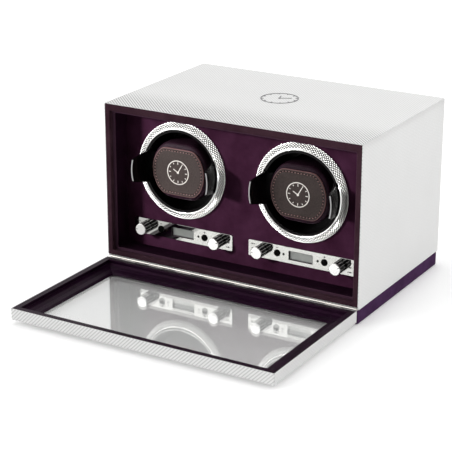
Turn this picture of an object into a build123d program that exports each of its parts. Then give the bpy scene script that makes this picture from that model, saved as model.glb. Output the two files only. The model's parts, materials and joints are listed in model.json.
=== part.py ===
from build123d import *
import os
from math import cos, radians, sin

# A double watch winder: a covered box whose glazed front door hangs on a piano hinge along its
# bottom edge and is shown swung down. Behind it, two belt-driven cups each turn a watch cuff, over
# a control plate each. The origin is the centre of the underside, +X runs to the right as seen
# from the front, +Y runs back and +Z up. "Depth" is always measured back from the case's front.

os.makedirs("parts", exist_ok=True)

# Case
CASE_WIDTH = 340.0
CASE_DEPTH = 225.0
CASE_HEIGHT = 213.0
PANEL = 6.5
COVER_LIP = 0.7
CORNER_RADIUS = 3.0
TOP_EDGE_RADIUS = 1.2
PAD_THICKNESS = 1.0
PAD_INSET = 3.0
PLINTH_TOP = 18.5
PLINTH_INSET = 1.2
PLINTH_WALL = 12.0
PLINTH_BASE = 3.0

# Front trim, liner and fascia
TRIM_DEPTH = 6.2
TRIM_BOTTOM = 21.7
TRIM_OPENING_HALF = 163.0
TRIM_OPENING_LOW = 27.3
TRIM_OPENING_HIGH = 204.0
LINER_OPENING_HALF = 159.65
LINER_OPENING_LOW = 30.3
LINER_OPENING_HIGH = 200.5
OPENING_RADIUS = 1.5
TRIM_EDGE_RADIUS = 0.7
LINER_EDGE_RADIUS = 0.8
FASCIA_DEPTH = 30.5
FASCIA_THICKNESS = 4.0

# Door, as it lies open
DOOR_THICKNESS = 13.8
DOOR_UNDERSIDE = 5.0
DOOR_BACK_DEPTH = -2.1
DOOR_WALL = 3.0
DOOR_FLANGE = 2.0
GLASS_BORDER = 22.0
GLASS_CLEARANCE = 0.3
GLASS_THICKNESS = 2.0
GLASS_LIP = 0.8
WINDOW_BORDER = 25.5
DOOR_EDGE_RADIUS = 0.8
RIM_WALL = 8.4
RIM_WALL_BOTTOM = 15.0
RIM_EDGE_RADIUS = 0.7
# The door's moulding from the glass up, as (border, height): a quirk, a shallow slope and a cove
MOULDING = ((21.5, 9.7), (15.5, 10.8), (11.2, 12.7), (9.2, RIM_WALL_BOTTOM))
MOULDING_EDGE = 0.6

# Piano hinge
HINGE_Z = 19.5
PIN_RADIUS = 0.5
PIN_CLEARANCE = 0.04
KNUCKLE_RADIUS = 1.0
KNUCKLE_COUNT = 17
KNUCKLE_GAP = 0.2
HINGE_LENGTH = 338.0
HINGE_CLEARANCE = 0.25
LEAF_THICKNESS = 0.6
CASE_LEAF_END = 12.0
DOOR_LEAF_LOW = 8.0
NOTCH_DEPTH = 1.8
HINGE_SCREW_X = (-150.0, -75.0, 0.0, 75.0, 150.0)
CASE_SCREW_DEPTH = 8.0
DOOR_SCREW_Z = 12.5
SCREW_RADIUS = 1.1
SCREW_HEAD_RADIUS = 2.0
SCREW_HEAD_HEIGHT = 0.9
SCREW_LENGTH = 5.0
HEAD_POCKET_RADIUS = 2.6
HEAD_POCKET_DEPTH = 1.5

# Magnetic catch, hidden behind the lining
CATCH_X = (-60.0, 60.0)
MAGNET_RADIUS = 3.0
MAGNET_THICKNESS = 3.0
MAGNET_SKIN = 2.0
STRIKE_LENGTH = 14.0
STRIKE_THICKNESS = 1.5
STRIKE_SKIN = 1.5

# Winder drums
DRUM_X = 80.5
DRUM_Z = 134.6
BEZEL_OUTER = 60.0
BEZEL_INNER = 50.8
BEZEL_CREST_DEPTH = 24.2
BEZEL_SKIRT = 1.9
BEZEL_LIP_WIDTH = 2.4
BEZEL_LIP_DEPTH = 1.6
BEZEL_SHOULDER_INSET = 2.6
BEZEL_SHOULDER_DROP = 1.3
FASCIA_HOLE = 53.6
HOUSING_OUTER = 53.2
HOUSING_INNER = 51.4
HOUSING_BACK = 74.0
HOUSING_WALL = 3.0
CUP_OUTER = 50.0
CUP_WALL = 2.0
CUP_MOUTH = 25.3
WING_OVERLAP = 2.0
CUP_FLOOR = 63.0
CUP_BACK = 66.0
CUP_HUB_BACK = 70.0
CUP_HUB_RADIUS = 9.0
WING_TIP = 0.8
WING_FLARE = 3.0
WING_TIP_WALL = 1.3
WING_TIP_HALF = 14.5
WING_ROOT_HALF = 20.5
WING_CORNER = 1.2
WING_TRIM_FRONT = 0.0
WING_TRIM_HALF = 13.0
CHEEK_RADIUS = 41.6
CHEEK_HALF = 17.0
CHEEK_FRONT = 31.0

# Drive
SHAFT_RADIUS = 4.0
SHAFT_HEAD_RADIUS = 7.0
SHAFT_HEAD_FRONT = 61.0
SHAFT_END = 94.0
RUNNING_CLEARANCE = 0.05
BUSH_RADIUS = 7.0
BUSH_FRONT = 70.6
BUSH_BACK = 78.0
BUSH_FLANGE_RADIUS = 9.5
PULLEY_FRONT = 82.0
PULLEY_BACK = 90.0
PULLEY_FLANGE = 1.2
ROTOR_GROOVE = 18.0
ROTOR_FLANGE = 20.0
MOTOR_GROOVE = 7.2
MOTOR_FLANGE = 9.0
MOTOR_DROP = 68.0
MOTOR_RADIUS = 13.5
MOTOR_FRONT = 45.0
MOTOR_SHAFT_RADIUS = 1.5
MOTOR_BORE_FRONT = 62.0
MOTOR_SHAFT_FRONT = 64.0
MOTOR_BOSS_RADIUS = 3.95
BRACKET_HOLE = 4.0
BRACKET_WIDTH = 34.0
BELT_WIDTH = 4.4
BELT_THICKNESS = 1.2
BELT_CLEARANCE = 0.3

# Watch cuffs
CUFF_RADIUS = 41.0
CUFF_HALF_HEIGHT = 36.8
CUFF_FRONT = 22.3
CUFF_BACK = 60.5
CUFF_EDGE_RADIUS = 4.5
FACE_RADIUS = 35.6
FACE_HALF_HEIGHT = 28.8
FACE_THICKNESS = 2.0
CUT_MARGIN = 1.0

# Control plates and what is fixed to them
CONTROL_Z = 55.2
PLATE_LENGTH = 139.0
PLATE_HEIGHT = 20.0
PLATE_THICKNESS = 1.0
PLATE_CORNER = 1.5
PLATE_EDGE = 0.25
KNOB_SPACING = 51.3
BUTTON_SPACING = 30.9
LAMP_SPACING = 22.3
KNOB_RADIUS = 7.4
KNOB_FRONT = 15.0
KNOB_BACK = 28.9
KNOB_COLLAR = 1.2
KNOB_EDGE = 0.4
FLUTE_RADIUS = 0.95
FLUTE_OUTSET = 0.24
FLUTE_COUNT = 16
STEM_RADIUS = 2.4
STEM_END = 37.5
STEM_GAP = 0.5
SWITCH_BUSH_RADIUS = 3.1
SWITCH_HOLE = 3.2
SWITCH_SIZE = 12.0
BUTTON_RADIUS = 4.0
BUTTON_HOLE = 4.3
BUTTON_FRONT = 28.0
BUTTON_EDGE = 0.6
BUTTON_FLANGE_RADIUS = 5.2
BUTTON_FLANGE = 1.2
BUTTON_STEM_RADIUS = 1.5
BUTTON_END = 38.4
LAMP_RADIUS = 1.5
LAMP_HOLE = 1.6
LAMP_FRONT = 29.1
LAMP_EDGE = 0.5
WINDOW_LENGTH = 31.6
WINDOW_HEIGHT = 11.4
DISPLAY_DEPTH = 32.0
DISPLAY_CLEARANCE = 0.2
DISPLAY_BODY_LENGTH = 38.0
DISPLAY_BODY_HEIGHT = 18.0
DISPLAY_BODY_BACK = 38.0
BOARD_LENGTH = 122.0
BOARD_HEIGHT = 26.0
BOARD_DEPTH = 40.0
BOARD_THICKNESS = 1.6
CONTACT_SIZE = 6.0
CONTACT_HEIGHT = 0.5

# Power inlet
JACK_X = 120.0
JACK_Z = 50.0
JACK_RADIUS = 6.0
JACK_FLANGE_RADIUS = 8.0
JACK_FLANGE = 1.5
JACK_LENGTH = 13.0
JACK_SOCKET_RADIUS = 2.75
JACK_SOCKET_DEPTH = 10.0
JACK_PIN_RADIUS = 1.0

# Dial motif on the top
MOTIF_DEPTH = 122.0
MOTIF_RADIUS = 23.0
MOTIF_LINE = 1.2
MOTIF_HEIGHT = 0.4
MOTIF_TICK = 3.2
MOTIF_TICK_COUNT = 12
MOTIF_BOSS = 1.8
MOTIF_HANDS = ((30.0, 14.5), (110.0, 10.0))

# Worked out from the above
FRONT = -CASE_DEPTH / 2
HALF_WIDTH = CASE_WIDTH / 2
INNER_HALF = HALF_WIDTH - PANEL
FLOOR_TOP = PLINTH_TOP + PANEL
CEILING = CASE_HEIGHT - PANEL
TRIM_HALF = HALF_WIDTH - COVER_LIP
TRIM_TOP = CASE_HEIGHT - COVER_LIP
FASCIA_BACK = FASCIA_DEPTH + FASCIA_THICKNESS
PLATE_FRONT = FASCIA_DEPTH - PLATE_THICKNESS
DOOR_LENGTH = CASE_HEIGHT - HINGE_Z + DOOR_BACK_DEPTH
DOOR_RIM = DOOR_UNDERSIDE + DOOR_THICKNESS
DOOR_CENTRE_Y = FRONT + DOOR_BACK_DEPTH - DOOR_LENGTH / 2
GLASS_BOTTOM = DOOR_UNDERSIDE + GLASS_LIP
GLASS_TOP = GLASS_BOTTOM + GLASS_THICKNESS
MOTOR_Z = DRUM_Z - MOTOR_DROP
CATCH_Z = (TRIM_OPENING_HIGH + TRIM_TOP) / 2
STRIKE_WIDTH = 2 * (CASE_HEIGHT - CATCH_Z - DOOR_WALL)
SIDES = {"left": -1, "right": 1}


def save(piece, name):
    """Label a finished piece and write it to its own STEP file."""
    piece.part.label = name
    export_step(piece.part, f"parts/{name}.step")


def front_view(depth, x=0.0, z=0.0):
    """A plane facing the front at a depth: its x runs right, its y up, and it extrudes forward."""
    return Plane(origin=(x, FRONT + depth, z), x_dir=(1, 0, 0), z_dir=(0, -1, 0))


def profile_plane(x, z):
    """A level plane through an axis that runs back: its x is the radius and its y the depth."""
    return Plane(origin=(x, FRONT, z), x_dir=(1, 0, 0), z_dir=(0, 0, 1))


def back_axis(x, z):
    """The axis that runs back from the case's front plane at x and z."""
    return Axis((x, FRONT, z), (0, 1, 0))


def turn_profile(points, x, z, mode=Mode.ADD):
    """Turn a closed outline of (radius, depth) points about the axis at x and z."""
    with BuildSketch(profile_plane(x, z)) as outline:
        with BuildLine():
            Polyline(*points, close=True)
        make_face()
    revolve(outline.sketch, axis=back_axis(x, z), mode=mode)


def block(low, high, mode=Mode.ADD):
    """A box between two corners given as (x, depth, z)."""
    size = [b - a for a, b in zip(low, high)]
    centre = [(a + b) / 2 for a, b in zip(low, high)]
    with BuildSketch(Plane((centre[0], FRONT + centre[1], low[2]))) as footprint:
        Rectangle(size[0], size[1])
    extrude(footprint.sketch, amount=size[2], mode=mode)


def door_rectangle(border):
    """The door's outline, moved in by a border."""
    with Locations((0, DOOR_CENTRE_Y)):
        Rectangle(CASE_WIDTH - 2 * border, DOOR_LENGTH - 2 * border)


def flat_sided_disc(radius, half_height):
    """A disc with its top and bottom cut off flat."""
    Circle(radius)
    Rectangle(2 * (radius + CUT_MARGIN), 2 * half_height, mode=Mode.INTERSECT)


def knuckle_spans(first):
    """The (start, end) x of every other hinge knuckle, from the first index given."""
    pitch = HINGE_LENGTH / KNUCKLE_COUNT
    left = -HINGE_LENGTH / 2
    return [
        (left + i * pitch + KNUCKLE_GAP / 2, left + (i + 1) * pitch - KNUCKLE_GAP / 2)
        for i in range(first, KNUCKLE_COUNT, 2)
    ]


def knuckle(start, end):
    """One barrel of the hinge, bored for the pin."""
    with BuildSketch(Plane((start, FRONT, HINGE_Z), x_dir=(0, 1, 0), z_dir=(1, 0, 0))) as ring:
        Circle(KNUCKLE_RADIUS)
        Circle(PIN_RADIUS + PIN_CLEARANCE, mode=Mode.SUBTRACT)
    extrude(ring.sketch, amount=end - start)


# Base and plinth

with BuildPart() as base_pad:
    with BuildSketch(Plane.XY):
        inset = PLINTH_INSET + PAD_INSET
        RectangleRounded(CASE_WIDTH - 2 * inset, CASE_DEPTH - 2 * inset, CORNER_RADIUS)
    extrude(amount=PAD_THICKNESS)
save(base_pad, "base_pad")

with BuildPart() as plinth:
    plinth_width = CASE_WIDTH - 2 * PLINTH_INSET
    plinth_length = CASE_DEPTH - 2 * PLINTH_INSET
    with BuildSketch(Plane.XY.offset(PAD_THICKNESS)):
        RectangleRounded(plinth_width, plinth_length, CORNER_RADIUS)
    extrude(amount=PLINTH_TOP - PAD_THICKNESS)
    with BuildSketch(Plane.XY.offset(PAD_THICKNESS + PLINTH_BASE)):
        Rectangle(plinth_width - 2 * PLINTH_WALL, plinth_length - 2 * PLINTH_WALL)
    extrude(amount=PLINTH_TOP, mode=Mode.SUBTRACT)
    with BuildSketch(Plane.XY.offset(PLINTH_TOP - HEAD_POCKET_DEPTH)):
        with Locations(*[(x, FRONT + CASE_SCREW_DEPTH) for x in HINGE_SCREW_X]):
            Circle(HEAD_POCKET_RADIUS)
    extrude(amount=HEAD_POCKET_DEPTH, mode=Mode.SUBTRACT)
save(plinth, "plinth")

# Covered case panels

with BuildPart() as case_floor:
    block(
        (-INNER_HALF, TRIM_DEPTH, PLINTH_TOP),
        (INNER_HALF, CASE_DEPTH - PANEL, FLOOR_TOP),
    )
    block((-INNER_HALF, NOTCH_DEPTH, PLINTH_TOP), (INNER_HALF, TRIM_DEPTH, TRIM_BOTTOM))
    block(
        (-INNER_HALF, NOTCH_DEPTH, PLINTH_TOP),
        (INNER_HALF, CASE_LEAF_END + HINGE_CLEARANCE, PLINTH_TOP + LEAF_THICKNESS),
        mode=Mode.SUBTRACT,
    )
    with BuildSketch(Plane.XY.offset(PLINTH_TOP + LEAF_THICKNESS)):
        with Locations(*[(x, FRONT + CASE_SCREW_DEPTH) for x in HINGE_SCREW_X]):
            Circle(SCREW_RADIUS)
    extrude(amount=SCREW_LENGTH - LEAF_THICKNESS, mode=Mode.SUBTRACT)
save(case_floor, "case_floor")

for side_name, side in SIDES.items():
    inner, outer = sorted((side * INNER_HALF, side * HALF_WIDTH))
    trim_inner, trim_outer = sorted((side * INNER_HALF, side * TRIM_HALF))
    with BuildPart() as case_side:
        block((inner, 0, PLINTH_TOP), (outer, CASE_DEPTH, CEILING))
        block(
            (trim_inner, 0, TRIM_BOTTOM),
            (trim_outer, TRIM_DEPTH, CEILING),
            mode=Mode.SUBTRACT,
        )
        block(
            (inner, 0, PLINTH_TOP),
            (outer, NOTCH_DEPTH, TRIM_BOTTOM),
            mode=Mode.SUBTRACT,
        )
        outer_edges = case_side.edges().filter_by(Axis.Z).group_by(Axis.Y)[-1]
        fillet(outer_edges.sort_by(Axis.X)[-1 if side > 0 else 0], CORNER_RADIUS)
    save(case_side, f"case_{side_name}_side")

with BuildPart() as case_top:
    block((-HALF_WIDTH, 0, CEILING), (HALF_WIDTH, CASE_DEPTH, CASE_HEIGHT))
    fillet(case_top.edges().filter_by(Axis.Z).group_by(Axis.Y)[-1], CORNER_RADIUS)
    block((-TRIM_HALF, 0, CEILING), (TRIM_HALF, TRIM_DEPTH, TRIM_TOP), mode=Mode.SUBTRACT)
    rim = case_top.edges().group_by(Axis.Z)[-1]
    fillet(rim - rim.group_by(Axis.Y)[0], TOP_EDGE_RADIUS)
save(case_top, "case_top")

with BuildPart() as case_back:
    block(
        (-INNER_HALF, CASE_DEPTH - PANEL, PLINTH_TOP),
        (INNER_HALF, CASE_DEPTH, CEILING),
    )
    with Locations(Plane((JACK_X, FRONT + CASE_DEPTH, JACK_Z), z_dir=(0, 1, 0))):
        CounterBoreHole(JACK_RADIUS, JACK_FLANGE_RADIUS, JACK_FLANGE, PANEL)
save(case_back, "case_back")

# Lined front: trim frame, liner sleeve and fascia

with BuildPart() as front_trim:
    trim_middle = (TRIM_BOTTOM + TRIM_TOP) / 2
    opening_middle = (TRIM_OPENING_LOW + TRIM_OPENING_HIGH) / 2
    with BuildSketch(front_view(TRIM_DEPTH)):
        with Locations((0, trim_middle)):
            Rectangle(2 * TRIM_HALF, TRIM_TOP - TRIM_BOTTOM)
        with Locations((0, opening_middle)):
            RectangleRounded(
                2 * TRIM_OPENING_HALF,
                TRIM_OPENING_HIGH - TRIM_OPENING_LOW,
                OPENING_RADIUS,
                mode=Mode.SUBTRACT,
            )
    extrude(amount=TRIM_DEPTH)
    with BuildSketch(front_view(TRIM_DEPTH)):
        with Locations(*[(x, CATCH_Z) for x in CATCH_X]):
            Circle(MAGNET_RADIUS)
    extrude(amount=TRIM_DEPTH - MAGNET_SKIN, mode=Mode.SUBTRACT)
    fillet(front_trim.faces().sort_by(Axis.Y)[0].edges(), TRIM_EDGE_RADIUS)
save(front_trim, "front_trim")

with BuildPart() as liner:
    with BuildSketch(front_view(FASCIA_DEPTH)):
        with Locations((0, (FLOOR_TOP + CEILING) / 2)):
            Rectangle(2 * INNER_HALF, CEILING - FLOOR_TOP)
        with Locations((0, (LINER_OPENING_LOW + LINER_OPENING_HIGH) / 2)):
            RectangleRounded(
                2 * LINER_OPENING_HALF,
                LINER_OPENING_HIGH - LINER_OPENING_LOW,
                OPENING_RADIUS,
                mode=Mode.SUBTRACT,
            )
    extrude(amount=FASCIA_DEPTH - TRIM_DEPTH)
    fillet(liner.faces().sort_by(Axis.Y)[0].inner_wires()[0].edges(), LINER_EDGE_RADIUS)
save(liner, "liner")

with BuildPart() as fascia_panel:
    with BuildSketch(front_view(FASCIA_BACK)):
        with Locations((0, (FLOOR_TOP + CEILING) / 2)):
            Rectangle(2 * INNER_HALF, CEILING - FLOOR_TOP)
        with Locations((-DRUM_X, DRUM_Z), (DRUM_X, DRUM_Z)):
            Circle(FASCIA_HOLE, mode=Mode.SUBTRACT)
        with Locations((-DRUM_X, CONTROL_Z), (DRUM_X, CONTROL_Z)):
            Rectangle(WINDOW_LENGTH, WINDOW_HEIGHT, mode=Mode.SUBTRACT)
            for spacing, radius in (
                (KNOB_SPACING, SWITCH_HOLE),
                (BUTTON_SPACING, BUTTON_HOLE),
                (LAMP_SPACING, LAMP_HOLE),
            ):
                with Locations((-spacing, 0), (spacing, 0)):
                    Circle(radius, mode=Mode.SUBTRACT)
    extrude(amount=FASCIA_THICKNESS)
save(fascia_panel, "fascia_panel")

with BuildPart() as catch_magnets:
    with BuildSketch(front_view(MAGNET_SKIN + MAGNET_THICKNESS)):
        with Locations(*[(x, CATCH_Z) for x in CATCH_X]):
            Circle(MAGNET_RADIUS)
    extrude(amount=MAGNET_THICKNESS)
save(catch_magnets, "catch_magnets")

# Piano hinge

with BuildPart() as hinge_leaf_case:
    leaf_top = PLINTH_TOP + LEAF_THICKNESS
    leaf_start = KNUCKLE_RADIUS + HINGE_CLEARANCE
    block((-INNER_HALF, leaf_start, PLINTH_TOP), (INNER_HALF, CASE_LEAF_END, leaf_top))
    for start, end in knuckle_spans(0):
        block((start, PIN_RADIUS + HINGE_CLEARANCE, PLINTH_TOP), (end, leaf_start, leaf_top))
        knuckle(start, end)
    with BuildSketch(Plane.XY.offset(PLINTH_TOP)):
        with Locations(*[(x, FRONT + CASE_SCREW_DEPTH) for x in HINGE_SCREW_X]):
            Circle(SCREW_RADIUS)
    extrude(amount=LEAF_THICKNESS, mode=Mode.SUBTRACT)
save(hinge_leaf_case, "hinge_leaf_case")

with BuildPart() as hinge_leaf_door:
    leaf_front = DOOR_BACK_DEPTH
    leaf_back = DOOR_BACK_DEPTH + LEAF_THICKNESS
    leaf_high = HINGE_Z - KNUCKLE_RADIUS - HINGE_CLEARANCE
    lug_low = DOOR_RIM + 2 * KNUCKLE_GAP
    lug_high = HINGE_Z + LEAF_THICKNESS / 2
    block(
        (-INNER_HALF, leaf_front, DOOR_LEAF_LOW),
        (INNER_HALF, leaf_back, leaf_high),
    )
    for start, end in knuckle_spans(1):
        block((start, leaf_front, leaf_high), (end, leaf_back, lug_high))
        block((start, leaf_back, lug_low), (end, -PIN_RADIUS - HINGE_CLEARANCE, lug_high))
        knuckle(start, end)
    with BuildSketch(front_view(leaf_back)):
        with Locations(*[(x, DOOR_SCREW_Z) for x in HINGE_SCREW_X]):
            Circle(SCREW_RADIUS)
    extrude(amount=LEAF_THICKNESS, mode=Mode.SUBTRACT)
save(hinge_leaf_door, "hinge_leaf_door")

with BuildPart() as hinge_pin:
    with BuildSketch(
        Plane((-HINGE_LENGTH / 2, FRONT, HINGE_Z), x_dir=(0, 1, 0), z_dir=(1, 0, 0))
    ):
        Circle(PIN_RADIUS)
    extrude(amount=HINGE_LENGTH)
save(hinge_pin, "hinge_pin")

with BuildPart() as hinge_screws_case:
    with BuildSketch(Plane.XY.offset(PLINTH_TOP - SCREW_HEAD_HEIGHT)):
        with Locations(*[(x, FRONT + CASE_SCREW_DEPTH) for x in HINGE_SCREW_X]):
            Circle(SCREW_HEAD_RADIUS)
    extrude(amount=SCREW_HEAD_HEIGHT)
    with BuildSketch(Plane.XY.offset(PLINTH_TOP)):
        with Locations(*[(x, FRONT + CASE_SCREW_DEPTH) for x in HINGE_SCREW_X]):
            Circle(SCREW_RADIUS)
    extrude(amount=SCREW_LENGTH)
save(hinge_screws_case, "hinge_screws_case")

with BuildPart() as hinge_screws_door:
    with BuildSketch(front_view(DOOR_BACK_DEPTH + LEAF_THICKNESS)):
        with Locations(*[(x, DOOR_SCREW_Z) for x in HINGE_SCREW_X]):
            Circle(SCREW_HEAD_RADIUS)
    extrude(amount=-SCREW_HEAD_HEIGHT)
    with BuildSketch(front_view(DOOR_BACK_DEPTH + LEAF_THICKNESS)):
        with Locations(*[(x, DOOR_SCREW_Z) for x in HINGE_SCREW_X]):
            Circle(SCREW_RADIUS)
    extrude(amount=SCREW_LENGTH)
save(hinge_screws_door, "hinge_screws_door")

# Door

with BuildPart() as door_shell:
    with BuildSketch(Plane.XY.offset(DOOR_UNDERSIDE)):
        door_rectangle(0)
    extrude(amount=DOOR_THICKNESS)
    fillet(door_shell.edges().filter_by(Axis.Z), CORNER_RADIUS / 2)
    fillet(door_shell.faces().sort_by(Axis.Z)[0].edges(), DOOR_EDGE_RADIUS)
    for border, bottom in (
        (WINDOW_BORDER, DOOR_UNDERSIDE),
        (GLASS_BORDER, GLASS_BOTTOM),
        (DOOR_WALL, GLASS_TOP),
        (COVER_LIP, DOOR_RIM - DOOR_FLANGE),
    ):
        with BuildSketch(Plane.XY.offset(bottom)):
            door_rectangle(border)
        extrude(amount=DOOR_RIM - bottom, mode=Mode.SUBTRACT)
    with BuildSketch(front_view(DOOR_BACK_DEPTH)):
        with Locations(*[(x, DOOR_SCREW_Z) for x in HINGE_SCREW_X]):
            Circle(SCREW_RADIUS)
    extrude(amount=DOOR_WALL, mode=Mode.SUBTRACT)
save(door_shell, "door_shell")

with BuildPart() as door_glass:
    with BuildSketch(Plane.XY.offset(GLASS_BOTTOM)):
        door_rectangle(GLASS_BORDER + GLASS_CLEARANCE)
    extrude(amount=GLASS_THICKNESS)
save(door_glass, "door_glass")

with BuildPart() as door_liner:
    with BuildSketch(Plane.XY.offset(GLASS_TOP)):
        door_rectangle(DOOR_WALL)
    extrude(amount=DOOR_RIM - GLASS_TOP)
    with BuildSketch(Plane.XY.offset(DOOR_RIM - DOOR_FLANGE)):
        door_rectangle(COVER_LIP)
    extrude(amount=DOOR_FLANGE)
    for border, height in ((WINDOW_BORDER - MOULDING_EDGE, GLASS_TOP), *MOULDING):
        with BuildSketch(Plane.XY.offset(height)):
            door_rectangle(border)
    loft(ruled=True, mode=Mode.SUBTRACT)
    with BuildSketch(Plane.XY.offset(RIM_WALL_BOTTOM)):
        door_rectangle(RIM_WALL)
    extrude(amount=DOOR_RIM - RIM_WALL_BOTTOM, mode=Mode.SUBTRACT)
    fillet(door_liner.faces().sort_by(Axis.Z)[-1].edges(), RIM_EDGE_RADIUS)
    strike_y = FRONT - (CATCH_Z - HINGE_Z)
    with BuildSketch(Plane.XY.offset(GLASS_TOP)):
        with Locations(*[(x, strike_y) for x in CATCH_X]):
            Rectangle(STRIKE_LENGTH, STRIKE_WIDTH)
    extrude(amount=DOOR_RIM - STRIKE_SKIN - GLASS_TOP, mode=Mode.SUBTRACT)
    with BuildSketch(front_view(DOOR_BACK_DEPTH - DOOR_WALL)):
        with Locations(*[(x, DOOR_SCREW_Z) for x in HINGE_SCREW_X]):
            Circle(SCREW_RADIUS)
    extrude(amount=SCREW_LENGTH - LEAF_THICKNESS - DOOR_WALL, mode=Mode.SUBTRACT)
save(door_liner, "door_liner")

with BuildPart() as catch_plates:
    with BuildSketch(Plane.XY.offset(DOOR_RIM - STRIKE_SKIN - STRIKE_THICKNESS)):
        with Locations(*[(x, strike_y) for x in CATCH_X]):
            Rectangle(STRIKE_LENGTH, STRIKE_WIDTH)
    extrude(amount=STRIKE_THICKNESS)
save(catch_plates, "catch_plates")

# Winder drums, one on each side

for side_name, side in SIDES.items():
    drum_x = side * DRUM_X

    with BuildPart() as bezel:
        with BuildSketch(profile_plane(drum_x, DRUM_Z)):
            with BuildLine():
                Polyline(
                    (BEZEL_OUTER, FASCIA_DEPTH - BEZEL_SKIRT),
                    (BEZEL_OUTER, FASCIA_DEPTH),
                    (BEZEL_INNER, FASCIA_DEPTH),
                    (BEZEL_INNER, BEZEL_CREST_DEPTH + BEZEL_LIP_DEPTH),
                    (BEZEL_INNER + BEZEL_LIP_WIDTH, BEZEL_CREST_DEPTH),
                )
                ThreePointArc(
                    (BEZEL_INNER + BEZEL_LIP_WIDTH, BEZEL_CREST_DEPTH),
                    (BEZEL_OUTER - BEZEL_SHOULDER_INSET, BEZEL_CREST_DEPTH + BEZEL_SHOULDER_DROP),
                    (BEZEL_OUTER, FASCIA_DEPTH - BEZEL_SKIRT),
                )
            make_face()
        revolve(axis=back_axis(drum_x, DRUM_Z))
    save(bezel, f"bezel_{side_name}")

    with BuildPart() as winder_housing:
        turn_profile(
            (
                (HOUSING_INNER, FASCIA_DEPTH),
                (HOUSING_OUTER, FASCIA_DEPTH),
                (HOUSING_OUTER, FASCIA_BACK),
                (BEZEL_OUTER, FASCIA_BACK),
                (BEZEL_OUTER, FASCIA_BACK + HOUSING_WALL),
                (HOUSING_OUTER, FASCIA_BACK + HOUSING_WALL),
                (HOUSING_OUTER, HOUSING_BACK),
                (BUSH_RADIUS, HOUSING_BACK),
                (BUSH_RADIUS, HOUSING_BACK - HOUSING_WALL),
                (HOUSING_INNER, HOUSING_BACK - HOUSING_WALL),
            ),
            drum_x,
            DRUM_Z,
        )
        bracket_low = MOTOR_Z - BRACKET_WIDTH / 2
        bracket_high = DRUM_Z - HOUSING_INNER + PANEL
        with BuildSketch(front_view(HOUSING_BACK)):
            with Locations((drum_x, (bracket_low + bracket_high) / 2)):
                Rectangle(BRACKET_WIDTH, bracket_high - bracket_low)
            with Locations((drum_x, MOTOR_Z)):
                Circle(BRACKET_HOLE, mode=Mode.SUBTRACT)
        extrude(amount=HOUSING_WALL)
    save(winder_housing, f"winder_housing_{side_name}")

    with BuildPart() as rotor_cup:
        turn_profile(
            (
                (CUP_OUTER - CUP_WALL, CUP_MOUTH + WING_OVERLAP),
                (CUP_OUTER, CUP_MOUTH + WING_OVERLAP),
                (CUP_OUTER, CUP_MOUTH),
                (CUP_OUTER + WING_FLARE, WING_TIP),
                (CUP_OUTER + WING_FLARE - WING_TIP_WALL, WING_TIP),
                (CUP_OUTER - CUP_WALL, CUP_MOUTH),
            ),
            drum_x,
            DRUM_Z,
        )
        wing_plane = Plane((drum_x, FRONT, DRUM_Z), x_dir=(0, 1, 0), z_dir=(1, 0, 0))
        with BuildSketch(wing_plane) as wing:
            with BuildLine():
                Polyline(
                    (WING_TIP, -WING_TIP_HALF),
                    (CUP_MOUTH + WING_OVERLAP, -WING_ROOT_HALF),
                    (CUP_MOUTH + WING_OVERLAP, WING_ROOT_HALF),
                    (WING_TIP, WING_TIP_HALF),
                    close=True,
                )
            make_face()
            fillet(wing.vertices().group_by(Axis.Y)[0], WING_CORNER)
        extrude(amount=BEZEL_OUTER, both=True, mode=Mode.INTERSECT)
        turn_profile(
            (
                (CUP_OUTER, CUP_MOUTH),
                (CUP_OUTER, CUP_BACK),
                (CUP_HUB_RADIUS, CUP_BACK),
                (CUP_HUB_RADIUS, CUP_HUB_BACK),
                (SHAFT_RADIUS, CUP_HUB_BACK),
                (SHAFT_RADIUS, CUP_FLOOR),
                (CUP_OUTER - CUP_WALL, CUP_FLOOR),
                (CUP_OUTER - CUP_WALL, CUP_MOUTH),
            ),
            drum_x,
            DRUM_Z,
        )
        with BuildSketch(front_view(CUP_FLOOR, drum_x, DRUM_Z)):
            Circle(CUP_OUTER - CUP_WALL / 2)
            Circle(CHEEK_RADIUS, mode=Mode.SUBTRACT)
            Rectangle(2 * CUP_OUTER, 2 * CHEEK_HALF, mode=Mode.INTERSECT)
        extrude(amount=CUP_FLOOR - CHEEK_FRONT)
    save(rotor_cup, f"rotor_cup_{side_name}")

    with BuildPart() as wing_trim:
        turn_profile(
            (
                (CUP_OUTER + WING_FLARE - WING_TIP_WALL, WING_TRIM_FRONT),
                (CUP_OUTER + WING_FLARE, WING_TRIM_FRONT),
                (CUP_OUTER + WING_FLARE, WING_TIP),
                (CUP_OUTER + WING_FLARE - WING_TIP_WALL, WING_TIP),
            ),
            drum_x,
            DRUM_Z,
        )
        with BuildSketch(front_view(WING_TIP, drum_x, DRUM_Z)):
            Rectangle(2 * BEZEL_OUTER, 2 * WING_TRIM_HALF)
        extrude(amount=WING_TIP - WING_TRIM_FRONT, mode=Mode.INTERSECT)
    save(wing_trim, f"wing_trim_{side_name}")

    with BuildPart() as rotor_shaft:
        turn_profile(
            (
                (0, SHAFT_HEAD_FRONT),
                (SHAFT_HEAD_RADIUS, SHAFT_HEAD_FRONT),
                (SHAFT_HEAD_RADIUS, CUP_FLOOR),
                (SHAFT_RADIUS, CUP_FLOOR),
                (SHAFT_RADIUS, SHAFT_END),
                (0, SHAFT_END),
            ),
            drum_x,
            DRUM_Z,
        )
    save(rotor_shaft, f"rotor_shaft_{side_name}")

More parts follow.
